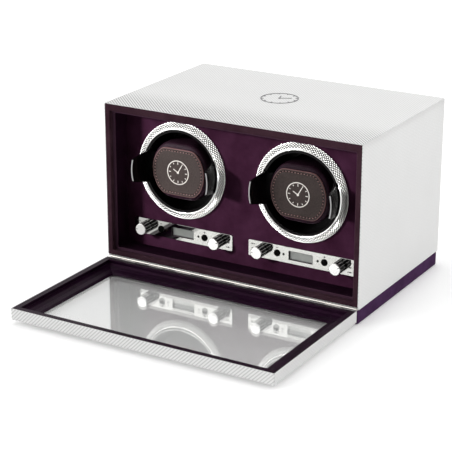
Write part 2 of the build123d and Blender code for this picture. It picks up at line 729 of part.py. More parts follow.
    with BuildPart() as rotor_pulley:
        turn_profile(
            (
                (SHAFT_RADIUS, PULLEY_FRONT),
                (ROTOR_FLANGE, PULLEY_FRONT),
                (ROTOR_FLANGE, PULLEY_FRONT + PULLEY_FLANGE),
                (ROTOR_GROOVE, PULLEY_FRONT + PULLEY_FLANGE),
                (ROTOR_GROOVE, PULLEY_BACK - PULLEY_FLANGE),
                (ROTOR_FLANGE, PULLEY_BACK - PULLEY_FLANGE),
                (ROTOR_FLANGE, PULLEY_BACK),
                (SHAFT_RADIUS, PULLEY_BACK),
            ),
            drum_x,
            DRUM_Z,
        )
    save(rotor_pulley, f"rotor_pulley_{side_name}")

    with BuildPart() as motor:
        turn_profile(
            (
                (0, MOTOR_FRONT),
                (MOTOR_RADIUS, MOTOR_FRONT),
                (MOTOR_RADIUS, HOUSING_BACK - HOUSING_WALL),
                (MOTOR_BOSS_RADIUS, HOUSING_BACK - HOUSING_WALL),
                (MOTOR_BOSS_RADIUS, HOUSING_BACK),
                (MOTOR_SHAFT_RADIUS + RUNNING_CLEARANCE, HOUSING_BACK),
                (MOTOR_SHAFT_RADIUS + RUNNING_CLEARANCE, MOTOR_BORE_FRONT),
                (0, MOTOR_BORE_FRONT),
            ),
            drum_x,
            MOTOR_Z,
        )
    save(motor, f"motor_{side_name}")

    with BuildPart() as motor_pulley:
        turn_profile(
            (
                (0, MOTOR_SHAFT_FRONT),
                (MOTOR_SHAFT_RADIUS, MOTOR_SHAFT_FRONT),
                (MOTOR_SHAFT_RADIUS, PULLEY_FRONT),
                (MOTOR_FLANGE, PULLEY_FRONT),
                (MOTOR_FLANGE, PULLEY_FRONT + PULLEY_FLANGE),
                (MOTOR_GROOVE, PULLEY_FRONT + PULLEY_FLANGE),
                (MOTOR_GROOVE, PULLEY_BACK - PULLEY_FLANGE),
                (MOTOR_FLANGE, PULLEY_BACK - PULLEY_FLANGE),
                (MOTOR_FLANGE, PULLEY_BACK),
                (0, PULLEY_BACK),
            ),
            drum_x,
            MOTOR_Z,
        )
    save(motor_pulley, f"motor_pulley_{side_name}")

    with BuildPart() as drive_belt:
        belt_back = (PULLEY_FRONT + PULLEY_BACK + BELT_WIDTH) / 2
        for gap, mode in (
            (BELT_CLEARANCE + BELT_THICKNESS, Mode.ADD),
            (BELT_CLEARANCE, Mode.SUBTRACT),
        ):
            with BuildSketch(front_view(belt_back, drum_x, DRUM_Z)):
                Circle(ROTOR_GROOVE + gap)
                with Locations((0, -MOTOR_DROP)):
                    Circle(MOTOR_GROOVE + gap)
                make_hull()
            extrude(amount=BELT_WIDTH, mode=mode)
    save(drive_belt, f"drive_belt_{side_name}")

    with BuildPart() as cuff_pad:
        with BuildSketch(front_view(CUFF_BACK, drum_x, DRUM_Z)) as cuff_outline:
            flat_sided_disc(CUFF_RADIUS, CUFF_HALF_HEIGHT)
            fillet(cuff_outline.vertices(), 2 * CUFF_EDGE_RADIUS)
        extrude(amount=CUFF_BACK - CUFF_FRONT)
        fillet(cuff_pad.edges().group_by(Axis.Y)[0], CUFF_EDGE_RADIUS)
    save(cuff_pad, f"cuff_pad_{side_name}")

    with BuildPart() as cuff_face:
        with BuildSketch(front_view(CUFF_FRONT, drum_x, DRUM_Z)) as face_outline:
            flat_sided_disc(FACE_RADIUS, FACE_HALF_HEIGHT)
            fillet(face_outline.vertices(), CORNER_RADIUS)
        extrude(amount=FACE_THICKNESS)
    save(cuff_face, f"cuff_face_{side_name}")

with BuildPart() as shaft_bushes:
    for side in SIDES.values():
        turn_profile(
            (
                (SHAFT_RADIUS + RUNNING_CLEARANCE, BUSH_FRONT),
                (BUSH_RADIUS, BUSH_FRONT),
                (BUSH_RADIUS, HOUSING_BACK),
                (BUSH_FLANGE_RADIUS, HOUSING_BACK),
                (BUSH_FLANGE_RADIUS, HOUSING_BACK + HOUSING_WALL / 2),
                (BUSH_RADIUS, HOUSING_BACK + HOUSING_WALL / 2),
                (BUSH_RADIUS, BUSH_BACK),
                (SHAFT_RADIUS + RUNNING_CLEARANCE, BUSH_BACK),
            ),
            side * DRUM_X,
            DRUM_Z,
        )
save(shaft_bushes, "shaft_bushes")

# Controls, one set on each side

for side_name, side in SIDES.items():
    control_x = side * DRUM_X

    with BuildPart() as control_plate:
        with BuildSketch(front_view(FASCIA_DEPTH, control_x, CONTROL_Z)):
            RectangleRounded(PLATE_LENGTH, PLATE_HEIGHT, PLATE_CORNER)
            Rectangle(WINDOW_LENGTH, WINDOW_HEIGHT, mode=Mode.SUBTRACT)
            for spacing, radius in (
                (KNOB_SPACING, SWITCH_HOLE),
                (BUTTON_SPACING, BUTTON_HOLE),
                (LAMP_SPACING, LAMP_HOLE),
            ):
                with Locations((-spacing, 0), (spacing, 0)):
                    Circle(radius, mode=Mode.SUBTRACT)
        extrude(amount=PLATE_THICKNESS)
        chamfer(control_plate.faces().sort_by(Axis.Y)[0].outer_wire().edges(), PLATE_EDGE)
    save(control_plate, f"control_plate_{side_name}")

    with BuildPart() as circuit_board:
        with BuildSketch(front_view(BOARD_DEPTH + BOARD_THICKNESS, control_x, CONTROL_Z)):
            Rectangle(BOARD_LENGTH, BOARD_HEIGHT)
        extrude(amount=BOARD_THICKNESS)
        with BuildSketch(front_view(BOARD_DEPTH, control_x, CONTROL_Z)):
            with Locations((-BUTTON_SPACING, 0), (BUTTON_SPACING, 0)):
                Rectangle(CONTACT_SIZE, CONTACT_SIZE)
        extrude(amount=CONTACT_HEIGHT)
    save(circuit_board, f"circuit_board_{side_name}")

    for place, knob_name, button_name in (
        (-1, "direction_knob", "minus_button"),
        (1, "turns_knob", "plus_button"),
    ):
        knob_x = control_x + place * KNOB_SPACING
        with BuildPart() as knob:
            turn_profile(
                (
                    (0, KNOB_FRONT),
                    (KNOB_RADIUS - KNOB_EDGE, KNOB_FRONT),
                    (KNOB_RADIUS, KNOB_FRONT + KNOB_EDGE),
                    (KNOB_RADIUS, KNOB_BACK),
                    (STEM_RADIUS, KNOB_BACK),
                    (STEM_RADIUS, STEM_END),
                    (0, STEM_END),
                ),
                knob_x,
                CONTROL_Z,
            )
            with BuildSketch(front_view(KNOB_BACK, knob_x, CONTROL_Z)):
                with PolarLocations(KNOB_RADIUS + FLUTE_OUTSET, FLUTE_COUNT):
                    Circle(FLUTE_RADIUS)
            extrude(amount=KNOB_BACK - KNOB_FRONT - KNOB_COLLAR, mode=Mode.SUBTRACT)
        save(knob, f"{knob_name}_{side_name}")

        button_x = control_x + place * BUTTON_SPACING
        with BuildPart() as button:
            turn_profile(
                (
                    (0, BUTTON_FRONT),
                    (BUTTON_RADIUS - BUTTON_EDGE, BUTTON_FRONT),
                    (BUTTON_RADIUS, BUTTON_FRONT + BUTTON_EDGE),
                    (BUTTON_RADIUS, FASCIA_BACK),
                    (BUTTON_FLANGE_RADIUS, FASCIA_BACK),
                    (BUTTON_FLANGE_RADIUS, FASCIA_BACK + BUTTON_FLANGE),
                    (BUTTON_STEM_RADIUS, FASCIA_BACK + BUTTON_FLANGE),
                    (BUTTON_STEM_RADIUS, BUTTON_END),
                    (0, BUTTON_END),
                ),
                button_x,
                CONTROL_Z,
            )
        save(button, f"{button_name}_{side_name}")

with BuildPart() as rotary_switches:
    for side in SIDES.values():
        for place in (-1, 1):
            switch_x = side * DRUM_X + place * KNOB_SPACING
            bore = STEM_RADIUS + RUNNING_CLEARANCE
            with BuildSketch(front_view(BOARD_DEPTH, switch_x, CONTROL_Z)):
                Rectangle(SWITCH_SIZE, SWITCH_SIZE)
            extrude(amount=BOARD_DEPTH - FASCIA_BACK)
            with BuildSketch(front_view(FASCIA_BACK, switch_x, CONTROL_Z)):
                Circle(SWITCH_BUSH_RADIUS)
            extrude(amount=FASCIA_BACK - PLATE_FRONT)
            with BuildSketch(front_view(STEM_END + STEM_GAP, switch_x, CONTROL_Z)):
                Circle(bore)
            extrude(amount=STEM_END + STEM_GAP - PLATE_FRONT, mode=Mode.SUBTRACT)
save(rotary_switches, "rotary_switches")

with BuildPart() as lcd_modules:
    for side in SIDES.values():
        with BuildSketch(front_view(FASCIA_BACK, side * DRUM_X, CONTROL_Z)):
            Rectangle(WINDOW_LENGTH - 2 * DISPLAY_CLEARANCE, WINDOW_HEIGHT - 2 * DISPLAY_CLEARANCE)
        extrude(amount=FASCIA_BACK - DISPLAY_DEPTH)
        with BuildSketch(front_view(DISPLAY_BODY_BACK, side * DRUM_X, CONTROL_Z)):
            Rectangle(DISPLAY_BODY_LENGTH, DISPLAY_BODY_HEIGHT)
        extrude(amount=DISPLAY_BODY_BACK - FASCIA_BACK)
save(lcd_modules, "lcd_modules")

with BuildPart() as indicator_lamps:
    for side in SIDES.values():
        for place in (-1, 1):
            turn_profile(
                (
                    (0, LAMP_FRONT),
                    (LAMP_RADIUS - LAMP_EDGE, LAMP_FRONT),
                    (LAMP_RADIUS, LAMP_FRONT + LAMP_EDGE),
                    (LAMP_RADIUS, BOARD_DEPTH),
                    (0, BOARD_DEPTH),
                ),
                side * DRUM_X + place * LAMP_SPACING,
                CONTROL_Z,
            )
save(indicator_lamps, "indicator_lamps")

# Power inlet in the back

with BuildPart() as power_jack:
    jack_back = CASE_DEPTH
    turn_profile(
        (
            (0, jack_back - JACK_LENGTH),
            (JACK_RADIUS, jack_back - JACK_LENGTH),
            (JACK_RADIUS, jack_back - JACK_FLANGE),
            (JACK_FLANGE_RADIUS, jack_back - JACK_FLANGE),
            (JACK_FLANGE_RADIUS, jack_back),
            (JACK_SOCKET_RADIUS, jack_back),
            (JACK_SOCKET_RADIUS, jack_back - JACK_SOCKET_DEPTH),
            (JACK_PIN_RADIUS, jack_back - JACK_SOCKET_DEPTH),
            (JACK_PIN_RADIUS, jack_back - 2 * JACK_FLANGE),
            (0, jack_back - 2 * JACK_FLANGE),
        ),
        JACK_X,
        JACK_Z,
    )
save(power_jack, "power_jack")

# Dial motif on the top: a ring with hour ticks, and two hands on a boss

with BuildPart() as top_emblem:
    with BuildSketch(Plane((0, FRONT + MOTIF_DEPTH, CASE_HEIGHT))):
        Circle(MOTIF_RADIUS)
        Circle(MOTIF_RADIUS - MOTIF_LINE, mode=Mode.SUBTRACT)
        with PolarLocations(MOTIF_RADIUS - MOTIF_LINE / 2 - MOTIF_TICK / 2, MOTIF_TICK_COUNT):
            Rectangle(MOTIF_TICK, MOTIF_LINE)
        Circle(MOTIF_BOSS)
        for heading, length in MOTIF_HANDS:
            reach_x = length / 2 * cos(radians(heading))
            reach_y = length / 2 * sin(radians(heading))
            with Locations(Location((reach_x, reach_y, 0), (0, 0, heading))):
                Rectangle(length, MOTIF_LINE)
    extrude(amount=MOTIF_HEIGHT)
save(top_emblem, "top_emblem")
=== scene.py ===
import json
from math import cos, pi, radians, sin, sqrt, tau

import bmesh
import bpy
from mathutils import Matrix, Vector


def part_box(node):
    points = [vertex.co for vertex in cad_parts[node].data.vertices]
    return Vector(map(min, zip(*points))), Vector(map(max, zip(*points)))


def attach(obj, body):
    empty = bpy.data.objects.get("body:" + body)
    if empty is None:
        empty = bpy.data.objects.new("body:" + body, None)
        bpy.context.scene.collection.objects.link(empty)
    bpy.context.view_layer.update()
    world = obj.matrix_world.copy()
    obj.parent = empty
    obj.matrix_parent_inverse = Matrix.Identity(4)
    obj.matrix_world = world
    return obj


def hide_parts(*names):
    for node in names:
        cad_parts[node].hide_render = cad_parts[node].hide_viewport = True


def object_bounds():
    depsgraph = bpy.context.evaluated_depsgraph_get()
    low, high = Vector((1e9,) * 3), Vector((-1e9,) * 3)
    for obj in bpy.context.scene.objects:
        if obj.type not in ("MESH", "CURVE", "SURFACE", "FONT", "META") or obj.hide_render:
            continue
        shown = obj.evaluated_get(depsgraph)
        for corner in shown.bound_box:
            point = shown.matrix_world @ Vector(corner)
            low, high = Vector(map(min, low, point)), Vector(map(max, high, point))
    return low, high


# The looks of a double watch winder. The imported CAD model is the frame: x runs right, y back and z
# up, in metres. "Depth" is measured back from the case's front, and lengths below are in mm.

MM = 0.001
SIDES = ("left", "right")

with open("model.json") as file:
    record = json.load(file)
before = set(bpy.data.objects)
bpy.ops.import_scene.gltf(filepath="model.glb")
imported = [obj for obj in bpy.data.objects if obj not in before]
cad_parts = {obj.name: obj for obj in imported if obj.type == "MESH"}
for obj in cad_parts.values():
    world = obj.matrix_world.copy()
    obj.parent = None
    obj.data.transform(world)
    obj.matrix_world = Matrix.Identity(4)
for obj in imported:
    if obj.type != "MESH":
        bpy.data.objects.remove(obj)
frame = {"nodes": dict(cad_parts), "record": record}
cad_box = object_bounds()

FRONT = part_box("front_trim")[0].y
FLOOR = cad_box[0][2]


def measures(cad):
    """A CAD node's middle, in metres, and its half width, half height, front and back, in mm."""
    low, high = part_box(cad)
    half_width = (high.x - low.x) / 2 / MM
    half_height = (high.z - low.z) / 2 / MM
    return (low + high) / 2, half_width, half_height, (low.y - FRONT) / MM, (high.y - FRONT) / MM


def polar(centre, radius, angle, depth):
    """The point at a radius and angle round a centre, as seen from the front; lengths in mm."""
    across, up = radius * cos(angle) * MM, radius * sin(angle) * MM
    return Vector((centre.x + across, FRONT + depth * MM, centre.z + up))


# --- Meshes -------------------------------------------------------------------------------------


def add_object(name, data):
    """A new object in the scene for a mesh, a lamp or a camera."""
    made = bpy.data.objects.new(name, data)
    bpy.context.scene.collection.objects.link(made)
    return made


def add_mesh(name, vertices, faces, materials):
    """A new mesh object; its vertices are in metres in the row frame."""
    mesh = bpy.data.meshes.new(name)
    mesh.from_pydata([tuple(vertex) for vertex in vertices], [], faces)
    for material in materials:
        mesh.materials.append(material)
    return add_object(name, mesh)


def add_piece(name, mesh, body, materials, smooth=True, replaces=(), kinds=None):
    """A piece that rides on a body, from (vertices, faces); kinds picks each face's material."""
    piece = add_mesh(name, *mesh, materials)
    if kinds:
        piece.data.polygons.foreach_set("material_index", kinds)
    piece.data.update()
    outward = bmesh.new()
    outward.from_mesh(piece.data)
    bmesh.ops.recalc_face_normals(outward, faces=outward.faces)
    outward.to_mesh(piece.data)
    outward.free()
    for polygon in piece.data.polygons:
        polygon.use_smooth = smooth
    settle(piece, body, replaces)
    return piece


def settle(piece, body, replaces=()):
    """Put a finished piece on its body and hide the CAD nodes it stands for."""
    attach(piece, body)
    if replaces:
        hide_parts(*replaces)


def add_values(piece, name, values):
    """Give a piece's points a named value that its material reads."""
    piece.data.attributes.new(name, "FLOAT", "POINT").data.foreach_set("value", values)


def ring_quad(rows, columns, row, column):
    """The corners of one quad of a grid whose rows and columns both close on themselves."""
    start, above = row * columns, (row + 1) % rows * columns
    beside = (column + 1) % columns
    return start + column, start + beside, above + beside, above + column


def ring_faces(rows, columns, closed_rows=False):
    """Quads over rows of points, each row closed round on itself."""
    last = rows if closed_rows else rows - 1
    return [ring_quad(rows, columns, row, column) for row in range(last) for column in range(columns)]


def end_faces(rows, columns):
    """The faces that close the first and the last of a stack of rows."""
    return [tuple(range(columns)), tuple(range((rows - 1) * columns, rows * columns))]


CORNER_SHARPNESS = 26


def flat_disc_radius(angle, radius, half_height):
    """The radius at an angle of a disc cut off flat above and below, with soft corners."""
    height = abs(sin(angle))
    flat = half_height / height if height > 1e-6 else 1e6
    return (radius**-CORNER_SHARPNESS + flat**-CORNER_SHARPNESS) ** (-1 / CORNER_SHARPNESS)


def outline(centre, depth, radius, half_height, count):
    """Points round a flat-sided disc that faces the front, in metres."""
    angles = [tau * step / count for step in range(count)]
    return [polar(centre, flat_disc_radius(angle, radius, half_height), angle, depth) for angle in angles]


def tube(path, radii, sections):
    """Vertices and faces of a round tube along a path, with a radius at each point, in metres."""
    count = len(path)
    vertices = []
    for index, point in enumerate(path):
        along = (path[min(index + 1, count - 1)] - path[max(index - 1, 0)]).normalized()
        side = along.cross(Vector((0, 1, 0))).normalized()
        out = side.cross(along).normalized()
        for section in range(sections):
            turn = tau * section / sections
            vertices.append(point + (side * cos(turn) + out * sin(turn)) * radii[index])
    return vertices, ring_faces(count, sections) + end_faces(count, sections)


def joined(meshes):
    """Several (vertices, faces) made into one."""
    vertices, faces = [], []
    for more_vertices, more_faces in meshes:
        start = len(vertices)
        vertices += more_vertices
        faces += [tuple(start + index for index in face) for face in more_faces]
    return vertices, faces


def slab(points, thickness):
    """A thin closed slab over a flat loop of points, thickened towards the front."""
    count = len(points)
    lifted = [point + Vector((0, -thickness, 0)) for point in points]
    faces = [tuple(range(count)), tuple(range(count, 2 * count))]
    faces += [(i, (i + 1) % count, count + (i + 1) % count, count + i) for i in range(count)]
    return list(points) + lifted, faces


def bar(centre, length, width, angle, thickness):
    """A thin bar on a surface that faces the front; sizes in mm, angle anticlockwise from +x."""
    along = Vector((cos(angle), 0, sin(angle))) * length / 2 * MM
    across = Vector((-sin(angle), 0, cos(angle))) * width / 2 * MM
    near, far = centre - across, centre + across
    return slab([near - along, near + along, far + along, far - along], thickness * MM)


def circle(centre, radius, count, lift=0.0):
    """Points round a circle on a surface that faces the front, lifted off it; sizes in mm."""
    turns = [tau * step / count for step in range(count)]
    return [centre + Vector((radius * cos(turn), -lift, radius * sin(turn))) * MM for turn in turns]


RING_COUNT = 96


def flat_ring(centre, outer, inner, thickness):
    """A thin flat ring on a surface that faces the front; sizes in mm."""
    rows = []
    for radius, lift in ((inner, 0), (inner, thickness), (outer, thickness), (outer, 0)):
        rows += circle(centre, radius, RING_COUNT, lift)
    return rows, ring_faces(4, RING_COUNT, closed_rows=True)


# --- Materials ----------------------------------------------------------------------------------


def new_material(name, colour, roughness, **settings):
    """A material whose plain values are set on its Principled shader's own sockets."""
    material = bpy.data.materials.new(name)
    material.use_nodes = True
    shader = principled(material)
    shader.inputs["Base Color"].default_value = (*colour, 1)
    shader.inputs["Roughness"].default_value = roughness
    for socket, value in settings.items():
        shader.inputs[socket.replace("_", " ")].default_value = value
    return material


def principled(material):
    """A material's main shader."""
    return material.node_tree.nodes["Principled BSDF"]


def node(material, kind, inputs=None, **settings):
    """Add a shader node; inputs maps sockets to values or to other nodes' outputs."""
    made = material.node_tree.nodes.new("ShaderNode" + kind)
    for name, value in settings.items():
        setattr(made, name, value)
    for socket, value in (inputs or {}).items():
        if isinstance(value, bpy.types.NodeSocket):
            material.node_tree.links.new(value, made.inputs[socket])
        else:
            made.inputs[socket].default_value = value
    return made


def calculate(material, operation, first, second=0.0, third=0.0):
    """One step of arithmetic on numbers or sockets; returns the result's socket."""
    return node(material, "Math", {0: first, 1: second, 2: third}, operation=operation).outputs[0]


def place(material):
    """Position in the row frame, in metres."""
    return node(material, "TexCoord").outputs["Object"]


def noise_at(material, scale, detail=3.0, roughness=0.55, vector=None):
    """Noise with a feature size of about 1/scale metres."""
    inputs = {"Vector": vector or place(material), "Scale": scale, "Detail": detail, "Roughness": roughness}
    return node(material, "TexNoise", inputs).outputs["Fac"]


def remap(material, value, low, high, new_low, new_high, curve="LINEAR"):
    """Stretch a value's range on to another."""
    inputs = {"Value": value, "From Min": low, "From Max": high, "To Min": new_low, "To Max": new_high}
    return node(material, "MapRange", inputs, interpolation_type=curve).outputs["Result"]


def mixed_colour(material, factor, first, second):
    """A colour between two, by a factor from 0 to 1."""
    made = node(material, "Mix", {0: factor}, data_type="RGBA")
    for socket, colour in ((6, first), (7, second)):
        if isinstance(colour, bpy.types.NodeSocket):
            material.node_tree.links.new(colour, made.inputs[socket])
        else:
            made.inputs[socket].default_value = (*colour, 1)
    return made.outputs[2]


def drive(material, socket, value):
    """Link a value to one of the shader's sockets."""
    material.node_tree.links.new(value, principled(material).inputs[socket])


def set_bump(material, height, depth):
    """Bump from a height of 0 to 1 over a depth in metres."""
    bump = node(material, "Bump", {"Height": height, "Distance": depth, "Strength": 1.0})
    drive(material, "Normal", bump.outputs["Normal"])


def choose(material, factor, first, second):
    """A number between two, by a factor from 0 to 1."""
    return node(material, "Mix", {0: factor, 2: first, 3: second}, data_type="FLOAT").outputs[0]


def attribute(material, name):
    """A named value that a piece's points carry."""
    return node(material, "Attribute", attribute_name=name).outputs["Fac"]


def base_colour(material):
    """The socket that drives a material's colour so far."""
    return principled(material).inputs["Base Color"].links[0].from_socket


WEAVE_PITCH = 3.05 * MM
WEAVE_FADE = (FRONT + 20 * MM, FRONT + 75 * MM)
DIAGONAL = 0.7072


def white_cover():
    """Pearl white covering embossed with a fine diagonal twill, on faces of any direction.

    Painted shade darkens the twill's grooves: strongest at the front of the top and weaker on the sides.
    """
    material = new_material("white_cover", (0.84, 0.84, 0.83), 0.42, Specular_IOR_Level=0.45)
    x, y, z = node(material, "SeparateXYZ", {0: place(material)}).outputs
    normal = node(material, "SeparateXYZ", {0: node(material, "TexCoord").outputs["Normal"]}).outputs
    faces_side = calculate(material, "GREATER_THAN", calculate(material, "ABSOLUTE", normal[0]), DIAGONAL)
    faces_up = calculate(material, "GREATER_THAN", calculate(material, "ABSOLUTE", normal[2]), DIAGONAL)
    across = choose(material, faces_side, x, y)
    along = choose(material, faces_up, calculate(material, "MULTIPLY", z, -1.0), y)
    turn = pi / (sqrt(2) * WEAVE_PITCH)
    rows = calculate(material, "MULTIPLY", calculate(material, "ADD", across, along), turn)
    steps = calculate(material, "MULTIPLY", calculate(material, "SUBTRACT", across, along), turn)
    ridge = calculate(material, "ABSOLUTE", calculate(material, "SINE", rows))
    link = calculate(material, "ABSOLUTE", calculate(material, "SINE", steps))
    height = calculate(material, "MULTIPLY", ridge, calculate(material, "MULTIPLY_ADD", link, 0.08, 0.92))
    soil = remap(material, noise_at(material, 14, 2), 0.3, 0.7, 0, 1)
    bright = mixed_colour(material, soil, (0.715, 0.715, 0.709), (0.735, 0.735, 0.729))
    # How strong the painted groove shade is: fading back along the top, halved in front of the case, fixed on
    # upright faces.
    fading = remap(material, y, *WEAVE_FADE, 0.85, 0.2, "SMOOTHSTEP")
    on_case = remap(material, y, FRONT - 6 * MM, FRONT, 0.5, 1.0)
    on_top = calculate(material, "MULTIPLY", fading, on_case)
    upright = choose(material, faces_side, 0.45, 0.3)
    groove_shade = choose(material, faces_up, upright, on_top)
    # Painted shade: the grooves turn dark grey, as much as the strength above allows.
    groove = calculate(material, "MULTIPLY", groove_shade, remap(material, height, 0.08, 0.8, 1.0, 0.0))
    drive(material, "Base Color", mixed_colour(material, groove, bright, (0.13, 0.131, 0.13)))
    drive(material, "Roughness", remap(material, height, 0.0, 1.0, 0.6, 0.36))
    set_bump(material, height, 0.12 * MM)
    return material


def suede(name, dark, light, sheen, roughness=0.92, shine=0.05):
    """Short-napped cloth: cloudy brushing marks, fine fibres and a soft sheen."""
    material = new_material(
        name,
        light,
        roughness,
        Sheen_Weight=sheen,
        Sheen_Roughness=0.4,
        Sheen_Tint=(0.75, 0.5, 0.72, 1),
        Specular_IOR_Level=shine,
        Specular_Tint=(0.6, 0.25, 0.5, 1),
    )
    brushed = noise_at(material, 38, 4, 0.6)
    fibres = noise_at(material, 2600, 2, 0.7)
    tone = calculate(material, "MULTIPLY_ADD", fibres, 0.45, calculate(material, "MULTIPLY", brushed, 0.75))
    drive(material, "Base Color", mixed_colour(material, remap(material, tone, 0.38, 0.8, 0, 1), dark, light))
    set_bump(material, fibres, 0.14 * MM)
    return material


def shaded_liner_suede():
    """The liner's suede: a darker copy of the lining suede as painted shade, with a painted highlight round
    its front edge.
    """
    material = suede("shaded_liner_suede", (0.0045, 0.0008, 0.003), (0.015, 0.0032, 0.0115), 0.02)
    depth = node(material, "SeparateXYZ", {0: place(material)}).outputs[1]
    # Painted highlight: a lighter band along the liner's front edge.
    edge = remap(material, depth, FRONT + 6.9 * MM, FRONT + 8.0 * MM, 1.0, 0.0)
    drive(material, "Base Color", mixed_colour(material, edge, base_colour(material), (0.06, 0.028, 0.046)))
    return material


def felt():
    """Coarse dark felt for the pad under the case."""
    material = new_material("pad_felt", (0.02, 0.02, 0.022), 0.98, Sheen_Weight=0.2, Specular_IOR_Level=0.1)
    fibres = noise_at(material, 1400, 5, 0.75)
    dark, light = (0.008, 0.008, 0.009), (0.035, 0.035, 0.038)
    drive(material, "Base Color", mixed_colour(material, fibres, dark, light))
    set_bump(material, fibres, 0.3 * MM)
    return material


def leather(name, dark, light, cell, depth, roughness, shine):
    """Grained leather; cell is the grain's size and depth its relief, in mm."""
    material = new_material(name, light, roughness, Specular_IOR_Level=shine)
    wander = noise_at(material, 500 / cell, 2)
    offset = node(material, "CombineXYZ", {0: wander, 1: wander, 2: wander}).outputs[0]
    scaled = node(material, "VectorMath", {0: offset, "Scale": 0.6 * cell * MM}, operation="SCALE").outputs[0]
    warped = node(material, "VectorMath", {0: place(material), 1: scaled}, operation="ADD").outputs[0]
    cells = {"Vector": warped, "Scale": 1 / (cell * MM), "Smoothness": 0.35}
    pebbles = node(material, "TexVoronoi", cells, feature="SMOOTH_F1").outputs["Distance"]
    grain = remap(material, pebbles, 0.15, 0.75, 1.0, 0.0)
    pores = noise_at(material, 3500, 2)
    height = calculate(material, "MULTIPLY_ADD", pores, 0.2, grain)
    worn = noise_at(material, 30, 3)
    tone = calculate(material, "MULTIPLY_ADD", grain, 0.5, calculate(material, "MULTIPLY", worn, 0.6))
    blend = remap(material, tone, 0.25, 0.85, 0, 1)
    drive(material, "Base Color", mixed_colour(material, blend, dark, light))
    drive(material, "Roughness", remap(material, grain, 0, 1, roughness + 0.14, roughness - 0.04))
    set_bump(material, height, depth * MM)
    return material


def badge_leather():
    """The cuff face: smooth grey-brown leather, with painted shade in its stitching channel and pink-brown at
    its edge.
    """
    material = leather("face_leather", (0.035, 0.0245, 0.0224), (0.063, 0.0448, 0.0413), 0.8, 0.03, 0.52, 0.2)
    groove = attribute(material, "groove")
    # Painted shade: the stitching channel is darkened by the value its points carry.
    groove_shade = mixed_colour(material, groove, base_colour(material), (0.03, 0.014, 0.015))
    burnished = mixed_colour(material, attribute(material, "edge"), groove_shade, (0.3, 0.15, 0.15))
    drive(material, "Base Color", burnished)
    return material


def polished(name, colour, roughness, smear=0.03):
    """Polished metal with faint wipe marks in its gloss."""
    material = new_material(name, colour, roughness, Metallic=1.0)
    marks = noise_at(material, 90, 5, 0.7)
    clean = max(roughness - smear / 2, 0.01)
    drive(material, "Roughness", remap(material, marks, 0.35, 0.7, clean, roughness + smear))
    warm = tuple(channel * shade for channel, shade in zip(colour, (1.0, 0.985, 0.955)))
    drive(material, "Base Color", mixed_colour(material, noise_at(material, 25, 2), colour, warm))
    return material


def brushed(name, colour, roughness, stretch):
    """Metal with fine lines drawn along one direction; stretch squeezes the noise across them."""
    material = new_material(name, colour, roughness, Metallic=1.0)
    axes = {0: place(material), 1: stretch}
    stretched = node(material, "VectorMath", axes, operation="MULTIPLY").outputs[0]
    lines = noise_at(material, 1.0, 3, 0.6, stretched)
    drive(material, "Roughness", remap(material, lines, 0.3, 0.7, roughness * 0.7, roughness * 1.4))
    dim = tuple(channel * 0.8 for channel in colour)
    drive(material, "Base Color", mixed_colour(material, lines, dim, colour))
    set_bump(material, lines, 0.01 * MM)
    return material


def grooved_metal(name, ridge, valley_shade, roughness, metallic):
    """Satin metal with painted shade in its hollows, as much as a value on its points tells."""
    material = polished(name, ridge, roughness)
    principled(material).inputs["Metallic"].default_value = metallic
    # Painted shade: how dark each hollow of the flutes or knurl is painted.
    depth = remap(material, attribute(material, "valley_shade"), 0.3, 0.7, 0.0, 1.0)
    drive(material, "Base Color", mixed_colour(material, depth, base_colour(material), valley_shade))
    return material


def moulded(name, colour, roughness, grain=2200, depth=0.03, coat=0.0, shine=0.4):
    """Moulded plastic: a fine tool texture with slight unevenness of tone and gloss."""
    material = new_material(
        name, colour, roughness, Coat_Weight=coat, Coat_Roughness=0.05, Specular_IOR_Level=shine
    )
    texture = noise_at(material, grain, 2, 0.6)
    patches = noise_at(material, 60, 3)
    dim = tuple(channel * 0.72 for channel in colour)
    drive(material, "Base Color", mixed_colour(material, patches, dim, colour))
    drive(material, "Roughness", remap(material, patches, 0.3, 0.7, roughness * 0.85, roughness * 1.2))
    set_bump(material, texture, depth * MM)
    return material


def window_glass():
    """Clear flat glass: it mirrors more at a low angle and lets light straight through."""
    material = bpy.data.materials.new("window_glass")
    material.use_nodes = True
    material.node_tree.nodes.clear()
    facing = node(material, "LayerWeight", {"Blend": 0.5}).outputs["Facing"]
    fresnel = calculate(material, "MULTIPLY_ADD", calculate(material, "POWER", facing, 3.6), 0.85, 0.13)
    upward = node(material, "SeparateXYZ", {0: node(material, "TexCoord").outputs["Normal"]}).outputs[2]
    inner_face = calculate(material, "GREATER_THAN", upward, 0.5)
    shine = calculate(material, "MULTIPLY", fresnel, inner_face)
    smears = noise_at(material, 22, 4, 0.6)
    clear = mixed_colour(material, smears, (0.91, 0.913, 0.91), (0.925, 0.928, 0.925))
    through = node(material, "BsdfTransparent", {"Color": clear})
    mirror = node(material, "BsdfGlossy", {"Roughness": 0.0, "Color": (1, 1, 1, 1)})
    both = node(material, "MixShader", {0: shine, 1: through.outputs[0], 2: mirror.outputs[0]})
    node(material, "OutputMaterial", {"Surface": both.outputs[0]})
    return material


def display():
    """Unlit liquid-crystal glass: grey-green, slightly uneven, with a fine dot structure."""
    material = new_material("display_grey", (0.34, 0.36, 0.34), 0.3, Coat_Weight=0.25, Coat_Roughness=0.03)
    uneven = noise_at(material, 70, 2)
    dots = node(material, "TexVoronoi", {"Vector": place(material), "Scale": 2400}).outputs["Distance"]
    tone = calculate(material, "MULTIPLY_ADD", dots, 0.25, uneven)
    drive(material, "Base Color", mixed_colour(material, tone, (0.26, 0.275, 0.26), (0.38, 0.395, 0.37)))
    return material


